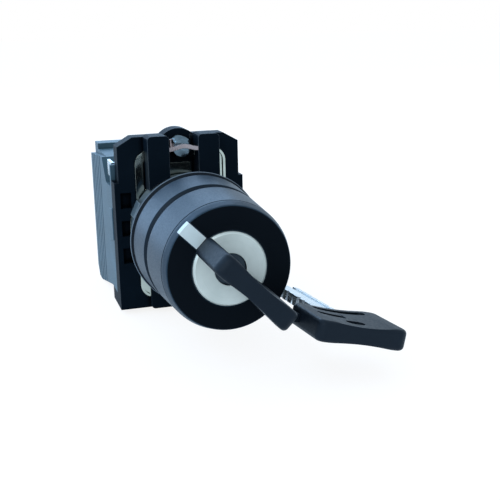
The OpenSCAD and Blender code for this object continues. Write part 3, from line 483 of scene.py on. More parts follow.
def put(name: str, data: bpy.types.ID) -> Object:
    """Puts a new object in the scene.

    Args:
        name: Name of the object.
        data: Its mesh, lamp or camera.

    Returns:
        The object, at the origin.
    """
    obj = bpy.data.objects.new(name, data)
    bpy.context.scene.collection.objects.link(obj)
    return obj


def put_mesh(name: str, bm: BMesh, material: Material) -> Object:
    """Puts a working mesh in the scene as an object.

    Args:
        name: Name of the object.
        bm: Working mesh, which is freed.
        material: Its material.

    Returns:
        The object.
    """
    mesh = bpy.data.meshes.new(name)
    bm.to_mesh(mesh)
    bm.free()
    mesh.materials.append(material)
    return put(name, mesh)


def applied(raw: Object, name: str) -> Object:
    """Applies the modifiers of a working object and keeps the result as a plain mesh.

    Args:
        raw: Working object, which is removed.
        name: Name of the new piece.

    Returns:
        The new piece, with no modifier left.
    """
    bpy.context.view_layer.update()
    deps = bpy.context.evaluated_depsgraph_get()
    mesh = bpy.data.meshes.new_from_object(
        raw.evaluated_get(deps), preserve_all_data_layers=True, depsgraph=deps
    )
    mesh.name = name
    bpy.data.objects.remove(raw)
    return put(name, mesh)


def grown(name: str, tree: NodeTree, values: dict[str, Any]) -> Object:
    """Runs a Geometry Nodes tree and keeps the result as a plain mesh.

    Args:
        name: Name of the new piece.
        tree: Tree with named inputs.
        values: Value of each named input.

    Returns:
        The new piece, with no modifier left.
    """
    seed = put(name + "_seed", bpy.data.meshes.new(name + "_seed"))
    mod = seed.modifiers.new("grow", "NODES")
    mod.node_group = tree
    for item in tree.interface.items_tree:
        if item.item_type == "SOCKET" and item.in_out == "INPUT":
            mod[item.identifier] = values[item.name]
    obj = applied(seed, name)
    obj.data.set_sharp_from_angle(angle=math.radians(SHARP_ANGLE))
    return obj


def clearance(edge: BMEdge, chosen: set[BMEdge]) -> float:
    """Measures the widest rounding that an edge can take beside its neighbours.

    Args:
        edge: Edge between two faces.
        chosen: All edges that are to be rounded.

    Returns:
        The width, which is infinite where nothing is in the way.
    """
    widest = math.inf
    for loop in edge.link_loops:
        after = loop.link_loop_next
        used = 0.0
        for near, corner in ((loop.link_loop_prev.edge, loop), (after.edge, after)):
            start = corner.vert.co
            aside = near.other_vert(corner.vert).co - start
            turn = max((edge.other_vert(corner.vert).co - start).angle(aside, math.pi), NEAR)
            if near in chosen:
                used += (1 if corner.is_convex else -1) / math.tan(turn / 2)
            else:
                used += 1 / math.tan(turn)
                widest = min(widest, aside.length * math.sin(turn))
        if used > 0:
            widest = min(widest, edge.calc_length() / used)
    return widest


def roomy(edges: list[BMEdge], width: float) -> list[BMEdge]:
    """Leaves out the edges that would narrow the rounding of all the others.

    Args:
        edges: Sharp edges of a piece.
        width: Width of the rounding.

    Returns:
        The edges that have room for it.
    """
    chosen = set(edges)
    while tight := {edge for edge in chosen if clearance(edge, chosen) < width}:
        chosen -= tight
    return [edge for edge in edges if edge in chosen]


def folds(bm: BMesh) -> float:
    """Measures how much of a mesh lies over itself.

    Args:
        bm: Working mesh.

    Returns:
        The area that faces cover twice, where the triangles of one exceed its outline.
    """
    covered: dict[BMFace, float] = {}
    for first, second, third in bm.calc_loop_triangles():
        area = area_tri(first.vert.co, second.vert.co, third.vert.co)
        covered[first.face] = covered.get(first.face, 0.0) + area
    return sum(max(area - FOLD_FACTOR * f.calc_area(), 0.0) for f, area in covered.items())


def bevelled(bm: BMesh, edges: list[BMEdge], width: float) -> list[BMFace]:
    """Gives edges of a mesh a rounding of some width and returns its faces."""
    form = {"segments": ROUND_STRIPS, "profile": ROUND_PROFILE, "clamp_overlap": True}
    return bmesh.ops.bevel(bm, geom=edges, offset=width, affect="EDGES", **form)["faces"]


def rounded(bm: BMesh, width: float, least_angle: float) -> tuple[BMesh, set[BMFace]]:
    """Rounds the sharp edges of a mesh, narrower if a face would lie over itself.

    Args:
        bm: Working mesh, which is freed.
        width: Width of the rounding.
        least_angle: Edges that turn by less, in radians, stay as they are.

    Returns:
        The new mesh, and the faces of its roundings that aren't in an inner corner.
    """
    allowed = folds(bm) + FOLD_ALLOWED
    best, bands, least = None, [], math.inf
    for share in TRIES:
        trial = bm.copy()
        trial.normal_update()
        pairs = [e for e in trial.edges if len(e.link_faces) == 2]
        sharp = [e for e in pairs if e.calc_face_angle(0.0) > least_angle]
        faces = bevelled(trial, roomy(sharp, share * width), share * width)
        over = folds(trial)
        if over < least:
            best, bands, least = trial, faces, over
        if over < allowed:
            break
    bm.free()
    outer = set()
    for face in bands:
        joins = [e for e in face.edges if e.calc_face_angle(0.0) > STRIP_ANGLE]
        if sum(1 if e.is_convex else -1 for e in joins) > 0:
            outer.add(face)
    return best, outer


class Workshop:
    """Keeps the frame and the finishes, and makes pieces from them."""

    def __init__(self, frame: dict[str, Any]) -> None:
        """Builds the finishes and reads which node has which slot and body.

        Args:
            frame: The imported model, as loaded.
        """
        record = frame["record"]
        bodies = record["behaviour"]["bodies"]
        self.nodes: dict[str, Object] = frame["nodes"]
        self.mats = {slot: finish.material() for slot, finish in FINISHES.items()}
        self.slots = {part["node"]: part["material_slot"] for part in record["subparts"]}
        self.bodies = {node: body for body, nodes in bodies.items() for node in nodes}

    def finish(self, node: str) -> Material:
        """Returns the material of a node: its own finish, or else the one of its slot."""
        return self.mats[OWN_FINISH.get(node, self.slots[node])]

    def dress(self, *nodes: str) -> None:
        """Gives CAD nodes that stay as they are their finish.

        Args:
            nodes: CAD nodes.
        """
        for node in nodes:
            mesh = self.nodes[node].data
            mesh.materials.clear()
            mesh.materials.append(self.finish(node))
            LOG.info("%s keeps its solid", node)

    def adopt(self, obj: Object, node: str) -> Object:
        """Lets a new piece stand for a CAD node, with its finish and body.

        Args:
            obj: The new piece, in place.
            node: CAD node.

        Returns:
            The piece.
        """
        obj.data.materials.clear()
        obj.data.materials.append(self.finish(node))
        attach(obj, self.bodies[node])
        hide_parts(node)
        LOG.info("%s stands for %s", obj.name, node)
        return obj

    def recoat(self, obj: Object, finish: str, where: Where) -> None:
        """Gives some faces of a piece a second finish.

        Args:
            obj: The piece.
            finish: Name of the second finish.
            where: Takes the middle of a face and tells whether it gets that finish.
        """
        obj.data.materials.append(self.mats[finish])
        for face in obj.data.polygons:
            if where(face.center):
                face.material_index = 1

    def soften(
        self, node: str, width_mm: float, least_angle: float = ROUND_ANGLE,
        bend: Bend | None = None, tone: Tone | None = None,
    ) -> Object:
        """Copies a CAD node and rounds its edges as a moulding or a deburred part has them.

        Args:
            node: CAD node to stand for.
            width_mm: Width of the rounding.
            least_angle: Edges that turn by less, in degrees, stay as they are.
            bend: Gives each point its new place before the rounding.
            tone: Takes the middle of a face and whether it is a rounded edge, and gives its tone.

        Returns:
            The new piece.
        """
        mesh = self.nodes[node].data.copy()
        mesh.name = node + "_skin"
        bm = bmesh.new()
        bm.from_mesh(mesh)
        bm.faces.layers.float.new(EDGE)
        bmesh.ops.remove_doubles(bm, verts=bm.verts, dist=WELD)
        flat = math.radians(FLAT_ANGLE)
        bmesh.ops.dissolve_limit(bm, angle_limit=flat, verts=bm.verts, edges=bm.edges)
        if bend:
            for vert in bm.verts:
                vert.co = bend(vert.co)
        bm, outer = rounded(bm, width_mm * MM, math.radians(least_angle))
        layer = bm.faces.layers.float[EDGE]
        for face in bm.faces:
            face.smooth = True
            edge = face in outer
            # Rounded outer edges get the pale tone: wear and a painted highlight.
            face[layer] = tone(face.calc_center_median(), edge) if tone else float(edge)
        bm.to_mesh(mesh)
        bm.free()
        mesh.set_sharp_from_angle(angle=math.radians(SHARP_ANGLE))
        raw = put(node + "_raw", mesh)
        even = raw.modifiers.new("even", "WEIGHTED_NORMAL")
        even.weight = NORMAL_WEIGHT
        even.keep_sharp = True
        return self.adopt(applied(raw, node + "_skin"), node)


@cache
def coil_tree() -> NodeTree:
    """Returns a tree that winds a round wire along Y, starting at a given place."""
    sizes = dict.fromkeys(("Turns", "Coil Radius", "Wire Radius", "Length"), "Float")
    graph, given = Graph.geometry("wound_wire", {**sizes, "Start": "Vector"})
    spiral = {"Resolution": COIL_STEPS, "Rotations": given["Turns"], "Height": given["Length"]}
    spiral |= dict.fromkeys(("Start Radius", "End Radius"), given["Coil Radius"])
    path = graph.add("GeometryNodeCurveSpiral", spiral)
    circle = {"Resolution": WIRE_SIDES, "Radius": given["Wire Radius"]}
    wire = graph.add("GeometryNodeCurvePrimitiveCircle", circle)
    sweep = {"Curve": path[0], "Profile Curve": wire[0], "Fill Caps": True}
    swept = graph.add("GeometryNodeCurveToMesh", sweep)
    along_y = (-math.pi / 2, 0.0, 0.0)
    move = {"Geometry": swept[0], "Translation": given["Start"], "Rotation": along_y}
    laid = graph.add("GeometryNodeTransform", move)
    graph.end(laid[0], given["Material"])
    return graph.tree


@cache
def screw_tree() -> NodeTree:
    """Returns a tree that sets a row of cross-slotted screws with rolled threads.

    Each screw has its origin at the underside of its head and its head towards its own +Z.
    """
    inputs = {label(size.name): "Float" for size in fields(CrossScrew)}
    inputs |= dict.fromkeys(("First", "Step", "First Turn", "Step Turn"), "Vector")
    inputs |= {"Count": "Int", "Thread Length": "Float"}
    graph, size = Graph.geometry("cross_slot_screws", inputs)
    maths = graph.maths

    def raised(geometry: Socket, height: Socket) -> Socket:
        """Moves geometry up by a height."""
        lift = graph.add("ShaderNodeCombineXYZ", {"Z": height})
        move = {"Geometry": geometry, "Translation": lift[0]}
        return graph.add("GeometryNodeTransform", move)[0]

    def cylinder(radius: Socket, depth: Socket, finer: str, steps: int) -> Socket:
        """Adds a cylinder along Z that one of its counts makes finer."""
        inputs = {"Vertices": SCREW_SIDES, "Radius": radius, "Depth": depth, finer: steps}
        return graph.add("GeometryNodeMeshCylinder", inputs)["Mesh"]

    spot = graph.add("GeometryNodeInputPosition")[0]
    at = graph.add("ShaderNodeSeparateXYZ", {0: spot})
    flat = graph.add("ShaderNodeCombineXYZ", {"X": at["X"], "Y": at["Y"]})
    radius = graph.add("ShaderNodeVectorMath", {0: flat[0]}, operation="LENGTH")["Value"]

    # The shank runs half the head's height into the head, so that the two join.
    sunk = maths("MULTIPLY", size["Head Height"], 0.5)
    whole_length = maths("ADD", size["Thread Length"], sunk)
    rod = cylinder(size["Thread Radius"], whole_length, "Side Segments", THREAD_STEPS)
    drop = maths("MULTIPLY", maths("SUBTRACT", sunk, size["Thread Length"]), 0.5)

    # The groove winds down the shank, and the shank narrows to its tip.
    turn = maths("DIVIDE", maths("ARCTAN2", at["Y"], at["X"]), 2 * math.pi)
    rise = maths("ADD", maths("DIVIDE", at["Z"], size["Thread Pitch"]), turn)
    wave = maths("MULTIPLY", maths("PINGPONG", rise, 0.5), 2.0)
    groove = maths("MULTIPLY", maths("DIVIDE", size["Thread Depth"], size["Thread Radius"]), wave)
    end = maths("SUBTRACT", 0.0, size["Thread Length"])
    tip = graph.ramp(at["Z"], (end, maths("ADD", end, size["Tip Length"])), TIP_SHARE)
    width = maths("MULTIPLY", maths("SUBTRACT", 1.0, groove), tip)
    across, along = (maths("MULTIPLY", at[way], width) for way in "XY")
    cut = graph.add("ShaderNodeCombineXYZ", {"X": across, "Y": along, "Z": at["Z"]})
    threaded = {"Geometry": raised(rod, drop), "Position": cut[0]}
    shank = graph.add("GeometryNodeSetPosition", threaded)

    blank = cylinder(size["Head Radius"], size["Head Height"], "Fill Segments", HEAD_RINGS)
    edge = maths("POWER", maths("DIVIDE", radius, size["Head Radius"]), DOME_POWER)
    fall = maths("MULTIPLY", edge, maths("MULTIPLY", size["Head Dome"], -1.0))
    sag = graph.add("ShaderNodeCombineXYZ", {"Z": fall})
    top = maths("GREATER_THAN", at["Z"], sunk)
    domed = {"Geometry": raised(blank, sunk), "Selection": top, "Offset": sag[0]}
    head = graph.add("GeometryNodeSetPosition", domed)
    joined = {"Mesh 2": [shank[0], head[0]]}
    whole = graph.add("GeometryNodeMeshBoolean", joined, operation="UNION", solver="EXACT")

    # Two bars cut the cross, half above the head and half in it.
    deep = maths("MULTIPLY", size["Slot Depth"], 2.0)
    bars = []
    for across, along in (("Slot Length", "Slot Width"), ("Slot Width", "Slot Length")):
        bar = graph.add("ShaderNodeCombineXYZ", {"X": size[across], "Y": size[along], "Z": deep})
        cube = graph.add("GeometryNodeMeshCube", {"Size": bar[0]})
        bars.append(raised(cube["Mesh"], size["Head Height"]))
    slot = {"Mesh 1": whole[0], "Mesh 2": bars}
    slotted = graph.add("GeometryNodeMeshBoolean", slot, operation="DIFFERENCE", solver="EXACT")

    steps = {"Count": size["Count"], "Start Location": size["First"], "Offset": size["Step"]}
    row = graph.add("GeometryNodeMeshLine", steps, mode="OFFSET")
    order = graph.add("GeometryNodeInputIndex")[0]
    turns = {0: size["Step Turn"], 1: order, 2: size["First Turn"]}
    facing = graph.add("ShaderNodeVectorMath", turns, operation="MULTIPLY_ADD")
    copies = {"Points": row[0], "Instance": slotted[0], "Rotation": facing[0]}
    placed = graph.add("GeometryNodeInstanceOnPoints", copies)
    graph.end(placed[0], size["Material"])
    return graph.tree


def label(field_name: str) -> str:
    """Turns the name of a size into the name of an input, as slot_width_mm into Slot Width."""
    return field_name.removesuffix("_mm").replace("_", " ").title()


@dataclass(frozen=True)
class CrossScrew:
    """Sizes of a cross-slotted machine screw, with the names of its tree's inputs."""

    thread_radius_mm: float
    head_radius_mm: float
    head_height_mm: float
    slot_length_mm: float
    thread_pitch_mm: float = 0.7
    thread_depth_mm: float = 0.22
    tip_length_mm: float = 0.5
    head_dome_mm: float = 0.5
    slot_width_mm: float = 0.8
    slot_depth_mm: float = 0.8

    def upright_pair(self, shop: Workshop, node: str, thread_length_mm: float) -> None:
        """Sets one screw with its head up and one below it with its head down.

        Args:
            shop: Maker of the pieces.
            node: CAD node of the two screws.
            thread_length_mm: Length of the shank.
        """
        low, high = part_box(node)
        middle = (low + high) / 2
        seat = high.z - middle.z - self.head_height_mm * MM
        first, turn = (middle.x, middle.y, middle.z + seat), (0.0, 0.0, math.pi / 4)
        row = {"Count": 2, "Step": (0.0, 0.0, -2 * seat), "Step Turn": (math.pi, 0.0, 0.0)}
        self.lay(shop, node, first, turn, thread_length_mm * MM, row)

    def facing_back(self, shop: Workshop, node: str) -> None:
        """Sets one screw along Y with its head at the back.

        Args:
            shop: Maker of the pieces.
            node: CAD node of the screw.
        """
        low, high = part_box(node)
        middle = (low + high) / 2
        seat = high.y - self.head_height_mm * MM
        first, turn = (middle.x, seat, middle.z), (-math.pi / 2, 0.0, 0.0)
        row = {"Count": 1, "Step": (0.0, 0.0, 0.0), "Step Turn": (0.0, 0.0, 0.0)}
        self.lay(shop, node, first, turn, seat - low.y, row)

    def lay(
        self, shop: Workshop, node: str, first: Triple, turn: Triple, length: float, row: dict
    ) -> None:
        """Makes a row of these screws and lets it stand for a CAD node.

        Args:
            shop: Maker of the pieces.
            node: CAD node of the screws.
            first: Place of the first one, under its head.
            turn: Rotation of the first one.
            length: Length of the shank.
            row: How many screws, and the way and rotation from each one to the next.
        """
        values = {label(name): size * MM for name, size in asdict(self).items()}
        values |= {"First": first, "First Turn": turn, "Thread Length": length, **row}
        values["Material"] = shop.finish(node)
        shop.adopt(grown(node + "_cut", screw_tree(), values), node)


@dataclass
class Head:
    """Fixed head: bezel, gasket, neck and the lock barrel inside."""

    shop: Workshop
    mould_edge_mm: float = 0.22
    bezel_edge_mm: float = 0.12
    groove_at_mm: float = 8.7
    groove_mm: float = 1.4
    groove_floor_mm: float = 12.6
    groove_back_mm: float = 0.3
    groove_front_mm: float = 0.8
    groove_deeper_mm: float = 0.2
    taper: float = 0.059
    gap_mm: float = 0.16
    gasket_edge_mm: float = 0.12

    def build(self) -> None:
        """Rounds the moulded pieces."""
        opened, lines = self.open_groove(), self.dark_lines()
        self.shop.soften("bezel", self.bezel_edge_mm, bend=opened, tone=lines)
        self.shop.soften("neck", self.mould_edge_mm)
        self.shop.soften("gasket", self.gasket_edge_mm)

    def open_groove(self) -> Bend:
        """Returns how the grip groove is opened, with a deeper floor and both lips moved apart."""
        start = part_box("bezel")[1].y - self.groove_at_mm * MM
        end = start - self.groove_mm * MM

        def bend(spot: Vector) -> Vector:
            """Moves the points of the groove and leaves the rest."""
            reach = math.hypot(spot.x, spot.z)
            if reach < self.groove_floor_mm * MM or not end - NEAR < spot.y < start + NEAR:
                return spot
            lip = spot.y > start - NEAR or spot.y < end + NEAR
            move = 0.0
            if spot.y < (start + end) / 2:
                move = -self.groove_front_mm * MM
            elif lip:
                move = self.groove_back_mm * MM
            share = 1 + (self.taper * move if lip else -self.groove_deeper_mm * MM) / reach
            return Vector((spot.x * share, spot.y + move, spot.z * share))

        return bend

    def dark_lines(self) -> Tone:
        """Returns the bezel's tone: painted shade in the groove and in the gap before the ring."""
        low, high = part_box("bezel")
        start = high.y - (self.groove_at_mm - self.groove_back_mm) * MM
        end = high.y - (self.groove_at_mm + self.groove_mm + self.groove_front_mm) * MM
        front = low.y + self.gap_mm * MM
        return lambda spot, edge: -1.0 if end < spot.y < start or spot.y < front else float(edge)

    def dress(self) -> None:
        """Finishes the pieces that stay as they are."""
        self.shop.dress("lock_barrel", "stop_pin")


@dataclass
class Selector:
    """Turning front: ring, pointer, lock disc and the drive behind them."""

    shop: Workshop
    ring_edge_mm: float = 0.2
    disc_edge_mm: float = 0.08
    pointer_edge_mm: float = 0.06
    bevel_mm: float = 1.2
    flat_mm: float = 0.12
    wide_recess_mm: float = 3.9
    recess_mm: float = 3.15
    cam_screw: CrossScrew = CrossScrew(
        thread_radius_mm=1.5, thread_pitch_mm=0.6, head_radius_mm=3.0, head_height_mm=1.6,
        head_dome_mm=0.35, slot_length_mm=4.2,
    )

    def build(self) -> None:
        """Rounds the visible pieces."""
        ring = self.shop.soften("selector_ring", self.ring_edge_mm)
        # Painted shade: the ring's front is a darker copy of the head plastic, and its bevel keeps
        # it.
        self.shop.recoat(ring, "head_plastic", self.on_bevel())
        disc = self.shop.soften("lock_disc", self.disc_edge_mm, bend=self.narrow_recess())
        # Painted shade: the wall and floor of the disc's recess get dark steel.
        self.shop.recoat(disc, "recess_shade_steel", self.in_recess())
        self.shop.soften("pointer", self.pointer_edge_mm)
        self.shop.soften("cam", self.ring_edge_mm)
        self.cam_screw.facing_back(self.shop, "cam_screw")

    def on_bevel(self) -> Where:
        """Returns where the ring has the head plastic, not painted shade: on its outer bevel."""
        low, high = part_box("selector_ring")
        inside = high.x - self.bevel_mm * MM
        front = low.y + self.flat_mm * MM
        return lambda spot: spot.y > front and math.hypot(spot.x, spot.z) > inside

    def narrow_recess(self) -> Bend:
        """Returns how the disc's round recess is drawn in, so that the bow hides most of it."""
        share = self.recess_mm / self.wide_recess_mm

        def bend(spot: Vector) -> Vector:
            """Moves the wall of the recess and leaves the rest."""
            off = math.hypot(spot.x, spot.z) - self.wide_recess_mm * MM
            if abs(off) > self.flat_mm * MM:
                return spot
            return Vector((spot.x * share, spot.y, spot.z * share))

        return bend

    def in_recess(self) -> Where:
        """Returns where the disc is painted dark as shade: on wall and floor of the recess."""
        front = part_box("lock_disc")[0].y + self.disc_edge_mm * MM
        inside = (self.recess_mm + self.flat_mm) * MM
        return lambda spot: spot.y > front and math.hypot(spot.x, spot.z) < inside

    def dress(self) -> None:
        """Finishes the lock's inner pieces."""
        self.shop.dress("lock_plug", "wafers", "plug_clip")


@dataclass
class Keys:
    """The key in the lock and the spare beside it."""

    shop: Workshop
    blade_edge_mm: float = 0.08
    bow_edge_mm: float = 0.12
    bow_angle: float = 45.0

    def build(self) -> None:
        """Rounds blades, bows and strap."""
        for key in ("key", "spare"):
            self.shop.soften(f"{key}_blade", self.blade_edge_mm)
            self.shop.soften(f"{key}_bow", self.bow_edge_mm, least_angle=self.bow_angle)
        self.shop.soften("key_strap", self.bow_edge_mm)


@dataclass
class Collar:
    """Fixing collar with its clamp frame, screw, spring strip and locking ring."""

    shop: Workshop
    mould_edge_mm: float = 0.2
    steel_edge_mm: float = 0.1
    frame_edge_mm: float = 0.18
    plate_front_mm: float = 14.5
    low_block_below_mm: float = 10.0
    low_block_share: float = 0.35
    rim_mm: float = 0.6
    tab_rim: float = 0.6
    plain_rim: float = 0.14
    strip_mm: float = 0.6
    strip_rise_mm: float = 0.6
    strip_lift_mm: float = 0.2
    strip_flatter: float = 0.5
    strip_thicker: float = 1.6
    lug_share: float = 0.8
    clamp_screw: CrossScrew = CrossScrew(
        thread_radius_mm=2.4, thread_pitch_mm=0.8, thread_depth_mm=0.3, head_radius_mm=3.3,
        head_height_mm=2.4, slot_length_mm=4.8,
    )

    def build(self) -> None:
        """Rounds moulding and pressed steel, and sets the screw."""
        block, rims = self.low_block(), self.pale_rims()
        self.shop.soften("collar", self.mould_edge_mm, bend=block, tone=rims)
        self.shop.soften("locking_ring", self.mould_edge_mm)
        self.shop.soften("clamp_frame", self.frame_edge_mm)
        self.clamp_screw.facing_back(self.shop, "clamp_screw")
        self.shop.soften("wave_strip", self.steel_edge_mm, bend=self.loaded_strip())

    def low_block(self) -> Bend:
        """Returns how the block under the neck is made flatter."""
        plate = self.plate_front_mm * MM

        def bend(spot: Vector) -> Vector:
            """Moves the front of the low block back and leaves the rest."""
            if spot.z > -self.low_block_below_mm * MM or spot.y > plate:
                return spot
            return Vector((spot.x, plate + (spot.y - plate) * self.low_block_share, spot.z))

        return bend

    def pale_rims(self) -> Tone:
        """Returns the collar's tone: pale on the tabs' front rims, which the light catches."""
        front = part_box("collar")[0].y + self.rim_mm * MM
        rim, plain = self.tab_rim, self.plain_rim
        return lambda spot, edge: (rim if spot.y < front else plain) if edge else 0.0

    def loaded_strip(self) -> Bend:
        """Returns how the wave strip lies once the screw presses it: flatter, and thicker."""
        low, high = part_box("wave_strip")
        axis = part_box("clamp_screw")
        level = (axis[0].z + axis[1].z) / 2
        half = (high.x - low.x) / 2
        rise, thickness = self.strip_rise_mm * MM, self.strip_mm * MM
        middle = level + self.strip_lift_mm * MM

        def bend(spot: Vector) -> Vector:
            """Flattens the wave and keeps the upturned lug on its end."""
            free = rise * math.cos(math.pi * spot.x / half)
            off = min(max(spot.z - level - free, -thickness / 2), thickness / 2)
            over = spot.z - level - free - off
            height = free * self.strip_flatter + off * self.strip_thicker + over * self.lug_share
            return Vector((spot.x, spot.y, middle + height))

        return bend


@dataclass
class ContactBlock:
    """One contact block with its terminals, plunger and return spring."""

    shop: Workshop
    side: Side
    mould_edge_mm: float = 0.2
    metal_edge_mm: float = 0.08
    wire_mm: float = 0.6
    turns: float = 6.0
    travel: float = 0.003
    shank_mm: float = 3.9
    latch_outline_mm: tuple[Pair, ...] = ((19.2, 4.0), (23.2, 3.4), (23.9, -4.8), (19.2, -3.6))
    latch_sunk_mm: float = 0.2
    latch_proud_mm: float = 0.2
    latch_edge_mm: float = 0.12
    screw: CrossScrew = CrossScrew(
        thread_radius_mm=1.7, head_radius_mm=2.8, head_height_mm=2.2, slot_length_mm=3.8
    )

    def build(self) -> None:
        """Rounds shell and terminals, sets screws and latch, and winds the spring."""
        for part in ("housing", "cover"):
            self.shop.soften(self.side.node(part), self.mould_edge_mm)
        for part in ("terminals", "clamps"):
            self.shop.soften(self.side.node(part), self.metal_edge_mm)
        self.screw.upright_pair(self.shop, self.side.node("screws"), self.shank_mm)
        self.set_latch()
        self.wind_spring()

    def set_latch(self) -> None:
        """Sets the flat end of the snap latch, which hooks on the collar, into the outer wall."""
        low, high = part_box(self.side.node("housing"))
        wall, way = low.x if self.side is Side.LEFT else high.x, self.side.value
        bm = bmesh.new()
        layer = bm.faces.layers.float.new(EDGE)
        outline = [(y * MM, z * MM) for y, z in self.latch_outline_mm]
        inner, outer = (
            [bm.verts.new((wall + way * out * MM, *spot)) for spot in outline]
            for out in (-self.latch_sunk_mm, self.latch_proud_mm)
        )
        for i in range(len(inner)):
            bm.faces.new((inner[i - 1], inner[i], outer[i], outer[i - 1]))
        front = bm.faces.new(outer)
        bm.faces.new(reversed(inner))
        bmesh.ops.recalc_face_normals(bm, faces=bm.faces)
        # Its rounded front edges get the pale tone: wear and a painted highlight.
        for face in bevelled(bm, list(front.edges), self.latch_edge_mm * MM):
            face[layer] = 1.0
        obj = put_mesh(self.side.node("latch"), bm, self.shop.mats["block_plastic"])
        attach(obj, self.shop.bodies[self.side.node("housing")])
        LOG.info("%s is set in the wall", obj.name)

    def wind_spring(self) -> None:
        """Winds the return spring."""
        node = self.side.node("spring")
        low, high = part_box(node)
        wire = self.wire_mm * MM
        middle = (low + high) / 2
        length = high.y - low.y - wire
        values = {
            "Turns": self.turns,
            "Coil Radius": (high.x - low.x - wire) / 2,
            "Wire Radius": wire / 2,
            "Length": length,
            "Start": (middle.x, low.y + wire / 2, middle.z),
            "Material": self.shop.mats["steel"],
        }
        spring = grown(self.side.node("coil"), coil_tree(), values)
        self.shop.adopt(spring, node)
        self.side.node("plunger_slide")
        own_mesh(spring)

    def dress(self) -> None:
        """Finishes the inner pieces."""
        self.shop.dress(self.side.node("plunger"), self.side.node("bridge"))


@dataclass(frozen=True)
class Lamp:
    """A soft square lamp that points at the switch."""

    name: str
    place: Triple
    size: float
    watts: float
    colour: str
    aim: Triple = (0.005, 0.0, 0.0)

    def hang(self) -> None:
        """Hangs the lamp, out of the camera's sight."""
        data = bpy.data.lights.new(self.name, "AREA")
        data.shape = "SQUARE"
        data.size = self.size
        data.energy = self.watts
        data.color = linear(self.colour)[:3]
        obj = put(self.name, data)
        obj.location = self.place
        way = Vector(self.aim) - Vector(self.place)
        obj.rotation_euler = way.to_track_quat("-Z", "Y").to_euler()
        obj.visible_camera = False


LAMPS = (
    Lamp("window_back", (-0.12, 0.6, 0.28), 0.8, 4.2, "#aad4ff"),
    Lamp("window_left", (-0.5, 0.05, 0.3), 0.5, 1.5, "#b9deff"),
    Lamp("front_card", (-0.3, -0.5, 0.32), 0.35, 0.7, WHITE),
)


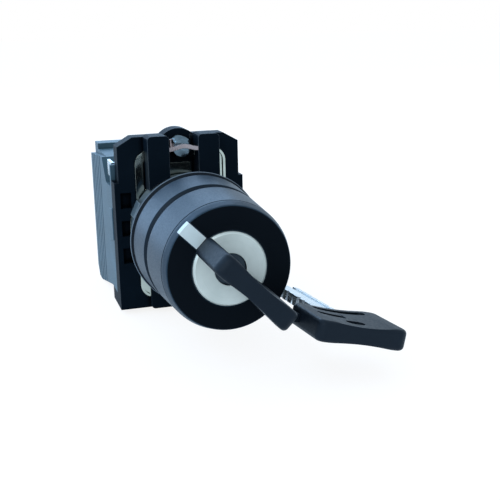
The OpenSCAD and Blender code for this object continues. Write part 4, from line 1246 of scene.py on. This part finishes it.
@dataclass(frozen=True)
class Studio:
    """White room: pale floor, soft lamps and the camera."""

    azimuth: float = -17.28
    elevation: float = 14.89
    roll: float = -1.13
    distance: float = 0.1934
    target: Triple = (0.01194, 0.0, -0.00382)
    focal_px: float = 876.2
    image_px: float = 500.0
    sensor_mm: float = 36.0
    clip: Pair = (0.01, 20.0)
    floor_half: float = 3.0
    floor_cells: int = 8
    floor_gap: float = 0.0002
    floor_glow: float = 0.86
    floor_colour: str = "#e7e7e7"
    seen_floor_colour: str = "#7c7c7c"
    cool_white: str = "#d8edff"
    window_way: Triple = (-0.6, 0.35, 0.72)
    window_band: Pair = (-0.6, 0.6)
    window_colour: str = "#d6eaff"
    dim_level: float = 0.6

    def camera(self) -> None:
        """Sets the camera at the photograph's viewing angle."""
        az, el = math.radians(self.azimuth), math.radians(self.elevation)
        back = Vector((math.sin(az) * math.cos(el), -math.cos(az) * math.cos(el), math.sin(el)))
        right = (-back).cross(Vector((0, 0, 1))).normalized()
        up = right.cross(-back)
        turn = math.radians(self.roll)
        side = math.cos(turn) * right + math.sin(turn) * up
        top = -math.sin(turn) * right + math.cos(turn) * up
        data = bpy.data.cameras.new("camera")
        data.sensor_width = self.sensor_mm
        data.lens = self.sensor_mm * self.focal_px / self.image_px
        data.clip_start, data.clip_end = self.clip
        cam = put("camera", data)
        facing = Matrix((side, top, back)).transposed().to_4x4()
        place = Vector(self.target) + back * self.distance
        cam.matrix_world = Matrix.Translation(place) @ facing
        bpy.context.scene.camera = cam

    def seen(self, graph: Graph) -> tuple[Socket, Socket]:
        """Adds what the camera sees of the white room.

        Args:
            graph: Node tree of the floor or the world.

        Returns:
            A value that is one where the camera looks, straight or in a reflection, and the colour
            of the room there, which is a cooler white in reflections.
        """
        path = graph.add("ShaderNodeLightPath")
        eye = graph.maths("MAXIMUM", path["Is Camera Ray"], path["Is Glossy Ray"])
        seen = graph.maths("MAXIMUM", eye, path["Is Transmission Ray"])
        return seen, graph.mix(path["Is Glossy Ray"], linear(WHITE), linear(self.cool_white))

    def floor(self, level: float) -> None:
        """Lays a white floor under the switch, which keeps its soft shadow.

        Args:
            level: Height of the floor.
        """
        bm = bmesh.new()
        cells = self.floor_cells
        bmesh.ops.create_grid(bm, x_segments=cells, y_segments=cells, size=self.floor_half)
        bmesh.ops.translate(bm, verts=bm.verts, vec=(0, 0, level))
        mat = bpy.data.materials.new("white_floor")
        graph = Graph.of(mat)
        seen, white = self.seen(graph)
        shade = graph.mix(seen, linear(self.floor_colour), linear(self.seen_floor_colour))
        paper = graph.add("ShaderNodeBsdfDiffuse", {"Color": shade})
        power = graph.maths("MULTIPLY", seen, self.floor_glow)
        glow = graph.add("ShaderNodeEmission", {"Color": white, "Strength": power})
        both = graph.add("ShaderNodeAddShader", {0: paper[0], 1: glow[0]})
        graph.add("ShaderNodeOutputMaterial", {"Surface": both[0]})
        obj = put_mesh("floor", bm, mat)
        obj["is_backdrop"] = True

    def walls(self) -> None:
        """Makes the walls: white to the eye, with cooler and stronger light from the upper left."""
        world = bpy.data.worlds.new("white_room")
        bpy.context.scene.world = world
        graph = Graph.of(world)
        way = graph.add("ShaderNodeTexCoord")["Generated"]
        ways = {0: way, 1: self.window_way}
        axis = graph.add("ShaderNodeVectorMath", ways, operation="DOT_PRODUCT")
        turned = graph.ramp(axis["Value"], self.window_band, kind="SMOOTHSTEP")
        level = graph.ramp(turned, (0.0, 1.0), self.dim_level)
        tint = graph.mix(turned, linear(WHITE), linear(self.window_colour))
        light = graph.add("ShaderNodeBackground", {"Color": tint, "Strength": level})
        seen, white = self.seen(graph)
        wall = graph.add("ShaderNodeBackground", {"Color": white, "Strength": 1.0})
        both = graph.add("ShaderNodeMixShader", {0: seen, 1: light[0], 2: wall[0]})
        graph.add("ShaderNodeOutputWorld", {"Surface": both[0]})

    def build(self, lowest: float) -> None:
        """Builds the room.

        Args:
            lowest: Height of the switch's lowest point.
        """
        bpy.context.scene.view_settings.view_transform = "Standard"
        self.camera()
        self.walls()
        self.floor(lowest - self.floor_gap)
        for lamp in LAMPS:
            lamp.hang()


def main() -> None:
    """Builds the switch and the room in order."""
    logging.basicConfig(level=logging.INFO, format="%(message)s")
    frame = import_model()
    cad_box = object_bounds()
    shop = Workshop(frame)
    head, selector = Head(shop), Selector(shop)
    blocks = [ContactBlock(shop, side) for side in Side]
    for part in (head, selector, Keys(shop), Collar(shop), *blocks):
        part.build()
    for part in (head, selector, *blocks):
        part.dress()
    Studio().build(cad_box[0].z)


if __name__ == "__main__":
    main()
